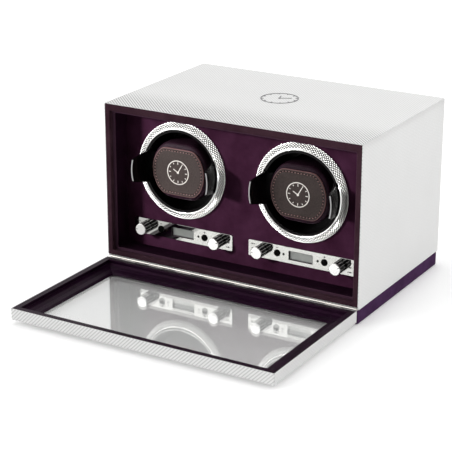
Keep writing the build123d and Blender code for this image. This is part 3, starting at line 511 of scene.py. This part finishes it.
def circuit_green():
    """Solder mask over copper tracks."""
    material = new_material("board_green", (0.02, 0.14, 0.06), 0.3, Coat_Weight=0.4)
    bricks = {"Vector": place(material), "Scale": 180.0}
    bricks |= {"Mortar Size": 0.05, "Brick Width": 1.4, "Row Height": 0.35}
    mask = node(material, "TexBrick", bricks, offset=0.35).outputs["Fac"]
    drive(material, "Base Color", mixed_colour(material, mask, (0.012, 0.1, 0.045), (0.05, 0.24, 0.1)))
    set_bump(material, mask, 0.03 * MM)
    return material


def lamp_lens():
    """The dark red lens of an unlit lamp."""
    material = new_material("lamp_lens", (0.01, 0.004, 0.004), 0.1, Coat_Weight=0.3, Coat_Roughness=0.05)
    cloud = noise_at(material, 900, 2)
    drive(material, "Base Color", mixed_colour(material, cloud, (0.004, 0.002, 0.002), (0.02, 0.007, 0.006)))
    return material


def twisted_thread(name, dark, light):
    """Waxed sewing thread with its lay showing as fine diagonal ridges."""
    material = new_material(name, light, 0.55, Sheen_Weight=0.3)
    bands = {"Vector": place(material), "Scale": 900.0, "Distortion": 1.5, "Detail": 2.0}
    wave = node(material, "TexWave", bands, bands_direction="DIAGONAL").outputs["Fac"]
    drive(material, "Base Color", mixed_colour(material, wave, dark, light))
    set_bump(material, wave, 0.08 * MM)
    return material


def ribbed_rubber():
    """A flat belt with fine ribs across it."""
    material = new_material("belt_rubber", (0.018, 0.018, 0.018), 0.7)
    bands = {"Vector": place(material), "Scale": 300.0, "Distortion": 0.4}
    ribs = node(material, "TexWave", bands, bands_direction="Z").outputs["Fac"]
    dust = noise_at(material, 250, 3)
    drive(material, "Base Color", mixed_colour(material, dust, (0.012, 0.012, 0.012), (0.035, 0.034, 0.033)))
    set_bump(material, ribs, 0.1 * MM)
    return material


MATERIALS = {
    "white_cover": white_cover(),
    "lining_suede": suede("lining_suede", (0.011, 0.0022, 0.0068), (0.028, 0.0085, 0.02), 0.02),
    "door_suede": suede("door_suede", (0.003, 0.0006, 0.0027), (0.016, 0.003, 0.0155), 0.0, 0.42, 0.13),
    "plinth_suede": suede("plinth_suede", (0.03, 0.01, 0.038), (0.075, 0.032, 0.095), 0.05),
    "pad_felt": felt(),
    "window_glass": window_glass(),
    "hinge_nickel": brushed("hinge_nickel", (0.97, 0.93, 0.87), 0.3, (60, 2500, 2500)),
    "steel": brushed("steel", (0.56, 0.56, 0.57), 0.3, (300, 3000, 300)),
    "bezel_chrome": polished("bezel_chrome", (0.93, 0.93, 0.92), 0.07),
    "plate_chrome": polished("plate_chrome", (0.42, 0.423, 0.411), 0.03, 0.02),
    "knob_chrome": polished("knob_chrome", (0.6, 0.6, 0.595), 0.08),
    "trim_silver": brushed("trim_silver", (0.5, 0.5, 0.5), 0.32, (800, 800, 3000)),
    "cup_gloss": moulded("cup_gloss", (0.003, 0.002, 0.0025), 0.2, 300, 0.004, 0.0, 0.14),
    "black_plastic": moulded("black_plastic", (0.022, 0.022, 0.023), 0.5),
    "button_black": moulded("button_black", (0.002, 0.002, 0.002), 0.3, shine=0.03),
    "cuff_leather": leather(
        "cuff_leather", (0.011, 0.003, 0.0075), (0.03, 0.0095, 0.021), 1.1, 0.04, 0.5, 0.13
    ),
    "face_leather": badge_leather(),
    "display_grey": display(),
    "lamp_clear": lamp_lens(),
    "board_green": circuit_green(),
    "bush_bronze": brushed("bush_bronze", (0.6, 0.42, 0.22), 0.4, (2000, 300, 2000)),
    "belt_rubber": ribbed_rubber(),
    "emblem_grey": moulded("emblem_grey", (0.17, 0.17, 0.175), 0.35, 1500, 0.01),
}
# The liner's copy of the lining suede, darkened as painted shade, with a painted highlight at its front edge.
SHADED_LINER_SUEDE = shaded_liner_suede()
# A lighter copy of the lining suede for the front trim: painted light in place of a lamp.
LIT_TRIM_SUEDE = suede("lit_trim_suede", (0.026, 0.0105, 0.0165), (0.058, 0.028, 0.038), 0.03)
INK = moulded("printed_ink", (0.03, 0.03, 0.032), 0.45, 3000, 0.01)
FOIL = polished("silver_foil", (0.8, 0.765, 0.73), 0.32, 0.1)
BORDER = moulded("display_border", (0.24, 0.25, 0.24), 0.4)
THREAD = twisted_thread("stitch_thread", (0.3, 0.14, 0.13), (0.48, 0.26, 0.24))
# Painted shade for the stitch holes.
HOLE_SHADE = moulded("stitch_hole_shade", (0.006, 0.002, 0.003), 0.85)
# Fluted and knurled chrome, with painted shade in their hollows.
FLUTES = grooved_metal("fluted_chrome", (0.95, 0.95, 0.95), (0.008, 0.008, 0.009), 0.3, 0.45)
KNURL = grooved_metal("knurled_chrome", (0.99, 0.99, 0.975), (0.004, 0.004, 0.004), 0.16, 0.35)


def dress_cad_nodes():
    """Give every CAD node its finish, by the slot that the record names for it."""
    # The liner and the front trim take shaded and lit copies of the lining suede: painted shade and painted
    # light.
    lit_and_shaded_copies = {"liner": SHADED_LINER_SUEDE, "front_trim": LIT_TRIM_SUEDE}
    for part in frame["record"]["subparts"]:
        shown = frame["nodes"][part["node"]]
        for slot in shown.material_slots:
            slot.material = lit_and_shaded_copies.get(part["node"], MATERIALS[part["material_slot"]])


# --- Chrome bezels ------------------------------------------------------------------------------

KNURL_COUNT = 88
KNURL_ROWS = 3
KNURL_HEIGHT = 1.3
KNURL_WIDTH = 7.0
KNURL_STEPS = 2 * KNURL_ROWS
WALL_HEIGHT = 1.7
WALL_POINTS = 2


def bezel_profile(outer, back, crest):
    """(radius, depth) points round a bezel's section: wall, knurled quarter round, smooth lip."""
    start = back - WALL_HEIGHT
    lip = outer - KNURL_WIDTH
    profile = [(outer, back), (outer, start + 0.5)]
    for step in range(KNURL_STEPS + 1):
        turn = radians(90) * (step / KNURL_STEPS) ** 0.9
        profile.append((lip + KNURL_WIDTH * cos(turn), start - (start - crest - 0.3) * sin(turn)))
    return profile + [
        (lip - 0.25, crest + 0.55),
        (lip - 0.5, crest + 0.12),
        (lip - 0.9, crest),
        (lip - 1.6, crest + 0.12),
        (lip - 2.05, crest + 0.6),
        (lip - 2.2, crest + 1.6),
        (lip - 2.2, back),
    ]


def knurl_sink(step, tip):
    """How far a point of the knurled band lies below its diamonds' tips, by its row."""
    if step in (0, KNURL_STEPS):
        return 0.1 if tip else 0.5
    return KNURL_HEIGHT if 0 < step < KNURL_STEPS and not tip else 0.0


def bezel_faces(rows, columns):
    """Quads round the profile, each knurled one split in two along its low diagonal.

    Returns the faces and, for each of them, 1 where it is knurled and 0 where it is smooth.
    """
    faces, knurled = [], []
    for row in range(rows):
        step = row - WALL_POINTS
        for column in range(columns):
            a, b, c, d = ring_quad(rows, columns, row, column)
            if not 0 <= step < KNURL_STEPS:
                new_faces = [(a, b, c, d)]
            elif (step + column) % 2 == 1:
                new_faces = [(a, b, d), (b, c, d)]
            else:
                new_faces = [(a, b, c), (a, c, d)]
            faces += new_faces
            knurled += [len(new_faces) - 1] * len(new_faces)
    return faces, knurled


def bezel_ring(side):
    """A ring with a diamond-knurled outer band of real pyramids and a smooth polished lip."""
    cad = f"bezel_{side}"
    centre, _, outer, crest, back = measures(cad)
    profile = bezel_profile(outer, back, crest)
    columns = 2 * KNURL_COUNT
    vertices, valley_shades = [], []
    for index, (radius, depth) in enumerate(profile):
        before, after = profile[max(index - 1, 0)], profile[min(index + 1, len(profile) - 1)]
        along = Vector((after[0] - before[0], after[1] - before[1])).normalized()
        step = index - WALL_POINTS
        for column in range(columns):
            sink = knurl_sink(step, (step + column) % 2 == 1)
            valley_shades.append(1.0 if sink > 0.2 else 0.0)
            angle = tau * column / columns
            vertices.append(polar(centre, radius + along.y * sink, angle, depth - along.x * sink))
    faces, knurled = bezel_faces(len(profile), columns)
    chromes = [MATERIALS["bezel_chrome"], KNURL]
    ring = add_piece(
        f"bezel_ring_{side}",
        (vertices, faces),
        "case",
        chromes,
        replaces=[cad],
        kinds=knurled,
    )
    for polygon, is_knurled in zip(ring.data.polygons, knurled):
        polygon.use_smooth = not is_knurled
    # Painted shade for the knurl's hollows, read by its material.
    add_values(ring, "valley_shade", valley_shades)


# --- Watch cuffs --------------------------------------------------------------------------------

CUSHION_COUNT = 96
CUSHION_SHRINK = 1.5
CUSHION_SHOULDER = 5.2
CUSHION_HEEL = 2.5
CUSHION_VOXEL = 2.6 * MM
CUSHION_MOVE = 1.5 * MM
CUSHION_PRESSURE = 4.0
CUSHION_FRAMES = 16
BADGE_COUNT = 240
BADGE_EDGE = [0.0, 0.15, 0.4, 0.75, 1.2, 1.8]
BADGE_GROOVE = [2.15, 2.45, 2.8, 3.1, 3.4, 3.75, 4.05]
BADGE_INSETS = [*BADGE_EDGE, *BADGE_GROOVE, 4.6, 6, 9, 13, 18, 23, 27]
STITCH_INSET = 3.1
STITCH_PITCH = 3.9
STITCH_LENGTH = 1.6
STITCH_RADIUS = 0.45
STITCH_SLANT = 0.22
STITCH_RISE = 0.34
STITCH_SINK = 0.12
HOLE_SHADE_SIZE = (1.3, 1.8)


def cushion_shape(centre, radius, half_height, front, back):
    """A closed flat-sided drum with rounded shoulders, as vertices and faces."""
    shoulder = CUSHION_SHOULDER
    profile = [(radius * 0.5, front + 0.1), (radius - shoulder - 2, front)]
    for step in range(7):
        turn = radians(90) * step / 6
        profile.append((radius - shoulder * (1 - sin(turn)), front + shoulder * (1 - cos(turn))))
    profile.append((radius, (front + back) / 2))
    for step in range(5):
        turn = radians(90) * step / 4
        profile.append((radius - CUSHION_HEEL * (1 - cos(turn)), back - CUSHION_HEEL * (1 - sin(turn))))
    profile.append((radius * 0.5, back))
    points = []
    for reach, depth in profile:
        inset = radius - reach
        points += outline(centre, depth, reach, max(half_height - inset, half_height * 0.45), CUSHION_COUNT)
    rows = len(profile)
    return points, ring_faces(rows, CUSHION_COUNT) + end_faces(rows, CUSHION_COUNT)


def swell(piece):
    """Blow a closed fabric mesh up a little by cloth simulation, and cap how far it moves."""
    remesh = piece.modifiers.new("remesh", "REMESH")
    remesh.mode = "VOXEL"
    remesh.voxel_size = CUSHION_VOXEL
    remesh.use_smooth_shade = True
    bake(piece)
    rest = [vertex.co.copy() for vertex in piece.data.vertices]
    cloth = piece.modifiers.new("cloth", "CLOTH")
    cloth.settings.quality = 5
    cloth.settings.mass = 0.3
    cloth.settings.tension_stiffness = 25
    cloth.settings.compression_stiffness = 25
    cloth.settings.bending_stiffness = 0.8
    cloth.settings.use_pressure = True
    cloth.settings.uniform_pressure_force = CUSHION_PRESSURE
    cloth.settings.effector_weights.gravity = 0
    cloth.point_cache.frame_start = 1
    cloth.point_cache.frame_end = CUSHION_FRAMES
    for step in range(1, CUSHION_FRAMES + 1):
        bpy.context.scene.frame_set(step)
        bpy.context.view_layer.update()
    bake(piece)
    bpy.context.scene.frame_set(1)
    for vertex, start in zip(piece.data.vertices, rest):
        move = vertex.co - start
        if move.length > CUSHION_MOVE:
            vertex.co = start + move.normalized() * CUSHION_MOVE


def bake(piece):
    """Replace a piece's mesh with what its modifiers make of it."""
    graph = bpy.context.evaluated_depsgraph_get()
    made = bpy.data.meshes.new_from_object(piece.evaluated_get(graph), depsgraph=graph)
    piece.modifiers.clear()
    old = piece.data
    name = old.name
    piece.data = made
    bpy.data.meshes.remove(old)
    made.name = name


def press_flat(piece, level):
    """Level the cushion's front middle where the badge sits on it."""
    for vertex in piece.data.vertices:
        vertex.co.y = max(vertex.co.y, level)


def cuff_cushion(side):
    """The cuff's leather-covered foam body, swollen by simulation."""
    pad = f"cuff_pad_{side}"
    centre, half_width, half_height, front, back = measures(pad)
    radius = half_width + 0.2
    shape = cushion_shape(
        centre, radius - CUSHION_SHRINK, half_height - CUSHION_SHRINK, front + 0.3, back - CUSHION_SHRINK
    )
    piece = add_mesh(f"cuff_cushion_{side}", *shape, [MATERIALS["cuff_leather"]])
    swell(piece)
    press_flat(piece, FRONT + front * MM)
    smooth = piece.modifiers.new("smooth", "SMOOTH")
    smooth.iterations = 2
    smooth.factor = 0.4
    rounder = piece.modifiers.new("subdivision", "SUBSURF")
    rounder.levels = 1
    rounder.render_levels = 1
    bake(piece)
    for polygon in piece.data.polygons:
        polygon.use_smooth = True
    settle(piece, f"cuff_{side}", [pad])


def badge_relief(inset):
    """How far the badge's face lies behind its highest level, by distance in from its edge, in mm."""
    rounding = 0.55 * max(0.0, 1 - inset / 1.1) ** 2
    groove = 0.32 * max(0.0, 1 - ((inset - STITCH_INSET) / 0.95) ** 2)
    return rounding + groove


def cuff_badge(side):
    """The cuff's leather face with a burnished edge, a sunken stitching channel and painted shade along that
    channel.
    """
    cad = f"cuff_face_{side}"
    centre, radius, half_height, front, back = measures(cad)
    points = outline(centre, back, radius, half_height, BADGE_COUNT)
    groove_shades = [0.0] * BADGE_COUNT
    edges = [1.0] * BADGE_COUNT
    for inset in BADGE_INSETS:
        depth = front + badge_relief(inset)
        points += outline(centre, depth, radius - inset, half_height - inset, BADGE_COUNT)
        # How much painted shade the stitching channel gets at this inset.
        groove_shades += [max(0.0, 1 - abs(inset - STITCH_INSET) / 0.9)] * BADGE_COUNT
        edges += [max(0.0, 1 - inset / 0.9)] * BADGE_COUNT
    faces = ring_faces(len(BADGE_INSETS) + 1, BADGE_COUNT)
    faces.append(tuple(range(BADGE_COUNT)))
    hub = len(points)
    last = hub - BADGE_COUNT
    faces += [(last + i, last + (i + 1) % BADGE_COUNT, hub) for i in range(BADGE_COUNT)]
    points.append(polar(centre, 0, 0, front))
    leathers = [MATERIALS["face_leather"]]
    badge = add_piece(
        f"cuff_badge_{side}", (points, faces), f"cuff_{side}", leathers, replaces=[cad]
    )
    add_values(badge, "groove", [*groove_shades, 0.0])
    add_values(badge, "edge", [*edges, 0.0])


def along_loop(points, pitch):
    """Evenly spaced (point, direction) pairs round a closed loop, near the pitch asked for."""
    lengths = [(points[(i + 1) % len(points)] - points[i]).length for i in range(len(points))]
    count = round(sum(lengths) / pitch)
    step = sum(lengths) / count
    places = []
    travelled, index = 0.0, 0
    for number in range(count):
        target = (number + 0.5) * step
        while travelled + lengths[index] < target:
            travelled += lengths[index]
            index += 1
        share = (target - travelled) / lengths[index]
        start, end = points[index], points[(index + 1) % len(points)]
        places.append((start.lerp(end, share), (end - start).normalized()))
    return places


def stitch(point, along, across):
    """One slanted stitch that rises out of its channel and dips at both ends."""
    slant = (along + across * STITCH_SLANT).normalized()
    path, radii = [], []
    for step in range(9):
        share = step / 8 * 2 - 1
        rise = STITCH_RISE * (1 - share**4) - STITCH_SINK
        path.append(point + slant * share * STITCH_LENGTH / 2 * MM + Vector((0, -rise * MM, 0)))
        radii.append(STITCH_RADIUS * MM * sqrt(max(0.12, 1 - share**6)))
    return tube(path, radii, 8)


def stitch_hole_shade(centre, along, across):
    """A dark oval of painted shade where the thread goes through the leather."""
    long, wide = along * HOLE_SHADE_SIZE[0] * MM, across * HOLE_SHADE_SIZE[1] * MM
    turns = [tau * step / 12 for step in range(12)]
    return slab([centre + long * cos(turn) + wide * sin(turn) for turn in turns], 0.04 * MM)


def cuff_stitches(side):
    """A row of slanted saddle stitches sunk in the channel, with a dark oval of painted shade for the hole
    between each two.
    """
    centre, half_width, half_height, front, _ = measures(f"cuff_face_{side}")
    depth = front + badge_relief(STITCH_INSET)
    loop = outline(centre, depth, half_width - STITCH_INSET, half_height - STITCH_INSET, 3 * BADGE_COUNT)
    stitches, hole_shades = [], []
    for point, along in along_loop(loop, STITCH_PITCH * MM):
        across = along.cross(Vector((0, 1, 0))).normalized()
        stitches.append(stitch(point, along, across))
        between = point + along * STITCH_PITCH / 2 * MM + Vector((0, -0.05 * MM, 0))
        hole_shades.append(stitch_hole_shade(between, along, across))
    kinds = [0] * len(joined(stitches)[1]) + [1] * len(joined(hole_shades)[1])
    mesh = joined(stitches + hole_shades)
    add_piece(f"cuff_stitching_{side}", mesh, f"cuff_{side}", [THREAD, HOLE_SHADE], kinds=kinds)


DIAL_RADIUS = 15.0
DIAL_LIFT = 0.12
TICK_REACH = 12.9
HANDS = ((60, 10.5), (150, 7.2))


def cuff_dial(side):
    """A plain dial stamped in silver foil: a ring, twelve ticks, a boss and two hands."""
    centre, _, _, front, _ = measures(f"cuff_face_{side}")
    hub = polar(centre, 0, 0, front - 0.01)
    meshes = [flat_ring(hub, DIAL_RADIUS, DIAL_RADIUS - 1.1, DIAL_LIFT)]
    for hour in range(12):
        angle = tau * hour / 12
        length = 3.0 if hour % 3 == 0 else 1.8
        tick = hub + Vector((cos(angle), 0, sin(angle))) * (TICK_REACH - length / 2) * MM
        meshes.append(bar(tick, length, 0.9, angle, DIAL_LIFT))
    for degrees, length in HANDS:
        angle = radians(degrees)
        hand = hub + Vector((cos(angle), 0, sin(angle))) * length / 2 * MM
        meshes.append(bar(hand, length, 1.05, angle, DIAL_LIFT * 1.2))
    meshes.append(slab(circle(hub, 1.5, 24), DIAL_LIFT * 1.5 * MM))
    add_piece(f"cuff_dial_{side}", joined(meshes), f"cuff_{side}", [FOIL], smooth=False)


# --- Controls -----------------------------------------------------------------------------------

INK_THICKNESS = 0.03
MARK_LENGTH = 2.8
SIGN_RISE = 6.6


def plate_marks(side):
    """Printed marks on a control plate: minus, plus and the scale dots at the two knobs."""
    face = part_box(f"control_plate_{side}")[0].y
    meshes = []

    def mark(beside, dx, dz, length, width, angle=0.0):
        """Print a bar on the plate at an offset in mm from a knob or a button."""
        centre = measures(beside)[0]
        at = Vector((centre.x + dx * MM, face, centre.z + dz * MM))
        meshes.append(bar(at, length, width, angle, INK_THICKNESS))

    mark(f"minus_button_{side}", 0, SIGN_RISE, MARK_LENGTH, 0.7)
    mark(f"plus_button_{side}", 0, SIGN_RISE, MARK_LENGTH, 0.7)
    mark(f"plus_button_{side}", 0, SIGN_RISE, MARK_LENGTH, 0.7, pi / 2)
    for knob, outward in ((f"direction_knob_{side}", -1), (f"turns_knob_{side}", 1)):
        for height in (-5.6, 0, 5.6):
            mark(knob, outward * 12.9, height, MARK_LENGTH, 1.4)
            mark(knob, outward * 10.2, height, 1.2, 1.4)
    add_piece(f"plate_marks_{side}", joined(meshes), "case", [INK], smooth=False)


KNOB_FLUTES = 12
FLUTE_STEPS = 8
FLUTE_DEPTH = 1.0
KNOB_LENGTH = 13.9
KNOB_CAP = 1.3
STEM_RADIUS = 2.4
INDEX_INSET = 2.1
INDEX_LENGTH = 2.4


def knob_profile(radius, front, end):
    """(radius, depth, fluted) points of a knob's section: cap, fluted barrel, then stem."""
    back = front + KNOB_LENGTH
    barrel = radius - 0.05
    return [
        (0.01, front, 0),
        (radius - 1.0, front, 0),
        (radius - 0.55, front + 0.02, 0),
        (radius - 0.12, front + 0.25, 0),
        (radius, front + 0.6, 0),
        (radius, front + KNOB_CAP - 0.1, 0),
        (radius - 0.15, front + KNOB_CAP, 0),
        (barrel, front + KNOB_CAP + 0.05, 1),
        (barrel, front + 5, 1),
        (barrel, front + 9.5, 1),
        (barrel, back - 0.3, 1),
        (radius - 0.5, back, 1),
        (STEM_RADIUS, back, 0),
        (STEM_RADIUS, end, 0),
        (0.01, end, 0),
    ]


def fluted_knob(knob):
    """A knob with a bright flat cap on a deeply fluted barrel, and the stem that carries it."""
    centre, _, radius, front, end = measures(knob)
    profile = knob_profile(radius, front, end)
    count = KNOB_FLUTES * FLUTE_STEPS
    vertices, valley_shades = [], []
    for reach, depth, fluted in profile:
        for column in range(count):
            dip = fluted * sin(pi * (column % FLUTE_STEPS) / FLUTE_STEPS) ** 0.8
            vertices.append(polar(centre, reach - FLUTE_DEPTH * dip, tau * column / count, depth))
            valley_shades.append(min(1.0, 1.5 * dip))
    faces = ring_faces(len(profile), count)
    kinds = []
    for near, far in zip(profile, profile[1:]):
        kinds += [max(near[2], far[2])] * count
    chromes = [MATERIALS["knob_chrome"], FLUTES]
    piece = add_piece(
        f"{knob}_body", (vertices, faces), knob, chromes, replaces=[knob], kinds=kinds
    )
    # Painted shade down the flutes, read by its material.
    add_values(piece, "valley_shade", valley_shades)


def knob_mark(knob, angle):
    """A short dark index line cut in a knob's face near its rim."""
    centre, _, radius, front, _ = measures(knob)
    turn = radians(angle)
    mesh = bar(polar(centre, radius - INDEX_INSET, turn, front), INDEX_LENGTH, 0.8, turn, 0.04)
    add_piece(f"{knob}_mark", mesh, knob, [INK], smooth=False)


SCREEN_PANES = ((31.0, 10.8, 0.0), (28.6, 8.6, 0.06))


def display_screen(side):
    """The display's glass in its window: a grey panel inside a dark border."""
    centre = measures(f"control_plate_{side}")[0]
    face = measures("lcd_modules")[3] - 0.02
    meshes = []
    for width, height, lift in SCREEN_PANES:
        middle = Vector((centre.x, FRONT + (face - lift) * MM, centre.z))
        across, up = Vector((width / 2 * MM, 0, 0)), Vector((0, 0, height / 2 * MM))
        corners = [middle - across - up, middle + across - up, middle + across + up, middle - across + up]
        meshes.append(slab(corners, 0.05 * MM))
    kinds = [0] * len(meshes[0][1]) + [1] * len(meshes[1][1])
    glass = [BORDER, MATERIALS["display_grey"]]
    add_piece(
        f"display_screen_{side}", joined(meshes), "case", glass, smooth=False, kinds=kinds
    )


# --- Stage, light and camera --------------------------------------------------------------------

CAMERA_AT = Vector((0.8728, -1.5907, 0.7068))
CAMERA_YAW = radians(-30.625)
CAMERA_PITCH = radians(-19.806)
CAMERA_LENS = 125.3
FLOOR_REACH = 9.0
LAMP_TARGET = (0, 0, 0.11)
LEFT_FRONT = (-1.45, -1.55, 0.75)


def add_floor():
    """A pale, faintly grained paper floor that the box stands on."""
    reach = FLOOR_REACH
    corners = [(-reach, -reach, FLOOR), (reach, -reach, FLOOR), (reach, reach, FLOOR), (-reach, reach, FLOOR)]
    material = new_material("floor_paper", (0.93, 0.93, 0.93), 0.85, Specular_IOR_Level=0.1)
    grain = noise_at(material, 900, 2)
    drive(material, "Base Color", mixed_colour(material, grain, (0.93, 0.93, 0.93), (0.95, 0.95, 0.95)))
    principled(material).inputs["Emission Color"].default_value = (1, 1, 1, 1)
    principled(material).inputs["Emission Strength"].default_value = 0.16
    add_mesh("floor", corners, [(0, 1, 2, 3)], [material])


def gathered(name, shown):
    """A collection, outside the scene, of the pieces or CAD nodes that are named."""
    collection = bpy.data.collections.new(name)
    for piece in shown:
        collection.objects.link(frame["nodes"].get(piece) or bpy.data.objects[piece])
    return collection


def add_softbox(name, at, width, height, power, only, shaded_by=(), target=LAMP_TARGET):
    """A rectangular lamp, in metres and watts, that lights only the pieces named.

    shaded_by names what can shade them, where that isn't everything.
    """
    lamp = bpy.data.lights.new(name, "AREA")
    lamp.shape = "RECTANGLE"
    lamp.size = width
    lamp.size_y = height
    lamp.energy = power
    holder = add_object(name, lamp)
    holder.location = at
    holder.rotation_euler = (Vector(target) - Vector(at)).to_track_quat("-Z", "Y").to_euler()
    holder.light_linking.receiver_collection = gathered(f"{name}_receivers", only)
    if shaded_by:
        holder.light_linking.blocker_collection = gathered(f"{name}_blockers", shaded_by)


def add_world():
    """A bright room, dimmer to the left and dark to the front right, with a glow at the left front."""
    world = bpy.data.worlds.new("studio")
    bpy.context.scene.world = world
    world.use_nodes = True
    heading = node(world, "TexCoord").outputs["Generated"]

    def towards(direction):
        """How near a ray's heading is to a direction, from -1 to 1."""
        aim = Vector(direction).normalized()
        return node(world, "VectorMath", {0: heading, 1: aim}, operation="DOT_PRODUCT").outputs["Value"]

    room = remap(world, towards((0.4, -0.9, 0)), 0.75, 0.05, 0.1, 1.4, "SMOOTHSTEP")
    left_wall = remap(world, towards((-1, 0.25, 0)), 0.3, 0.9, 1.0, 0.55, "SMOOTHSTEP")
    glow = remap(world, towards((-0.66, -0.68, 0.32)), 0.86, 0.94, 0.0, 2.6, "SMOOTHSTEP")
    background = world.node_tree.nodes["Background"]
    background.inputs["Color"].default_value = (1, 1, 1, 1)
    level = calculate(world, "MULTIPLY_ADD", room, left_wall, glow)
    world.node_tree.links.new(level, background.inputs["Strength"])


def add_lamps():
    """Lamps that pick out the fascia, the bezels, the left cuff and the case's right side."""
    rings = [f"bezel_ring_{side}" for side in SIDES]
    cups = [f"rotor_cup_{side}" for side in SIDES]
    left_cuff = [f"cuff_{piece}_left" for piece in ("cushion", "badge", "stitching", "dial")]
    add_softbox("key", LEFT_FRONT, 0.25, 0.25, 95, ["fascia_panel"])
    add_softbox("ring_light", (-1.2, -1.0, 1.4), 0.4, 0.3, 290, rings, shaded_by=[*rings, *cups])
    add_softbox("side_fill", (3.0, 0.2, 0.9), 1.0, 1.0, 9, ["case_right_side"], target=(0.17, 0, 0.1))
    add_softbox("cuff_light", LEFT_FRONT, 0.25, 0.25, 33, left_cuff)
    add_softbox("ring_underglow", (0, -0.15, -0.8), 0.5, 0.2, 18, rings, shaded_by=[*rings, "fascia_panel"])
    add_softbox("ring_glint", (1.5, -1.4, 0.25), 0.1, 0.1, 30, rings)


def add_camera():
    """The camera at the front right and above, with a long lens."""
    camera = bpy.data.cameras.new("camera")
    camera.lens = CAMERA_LENS
    camera.sensor_width = 36
    camera.clip_start = 0.05
    holder = add_object("camera", camera)
    holder.location = CAMERA_AT
    level = cos(CAMERA_PITCH)
    look = Vector((sin(CAMERA_YAW) * level, cos(CAMERA_YAW) * level, sin(CAMERA_PITCH)))
    holder.rotation_euler = look.to_track_quat("-Z", "Y").to_euler()
    bpy.context.scene.camera = holder
    bpy.context.scene.view_settings.view_transform = "Standard"


# --- Assembly -----------------------------------------------------------------------------------

KNOB_MARK_ANGLES = {
    "direction_knob_left": 180,
    "turns_knob_left": 25,
    "direction_knob_right": 180,
    "turns_knob_right": 30,
}

add_camera()
dress_cad_nodes()
for side in SIDES:
    bezel_ring(side)
    cuff_cushion(side)
    cuff_badge(side)
    cuff_stitches(side)
    cuff_dial(side)
    plate_marks(side)
    display_screen(side)
for knob, angle in KNOB_MARK_ANGLES.items():
    fluted_knob(knob)
    knob_mark(knob, angle)
add_floor()
add_world()
add_lamps()
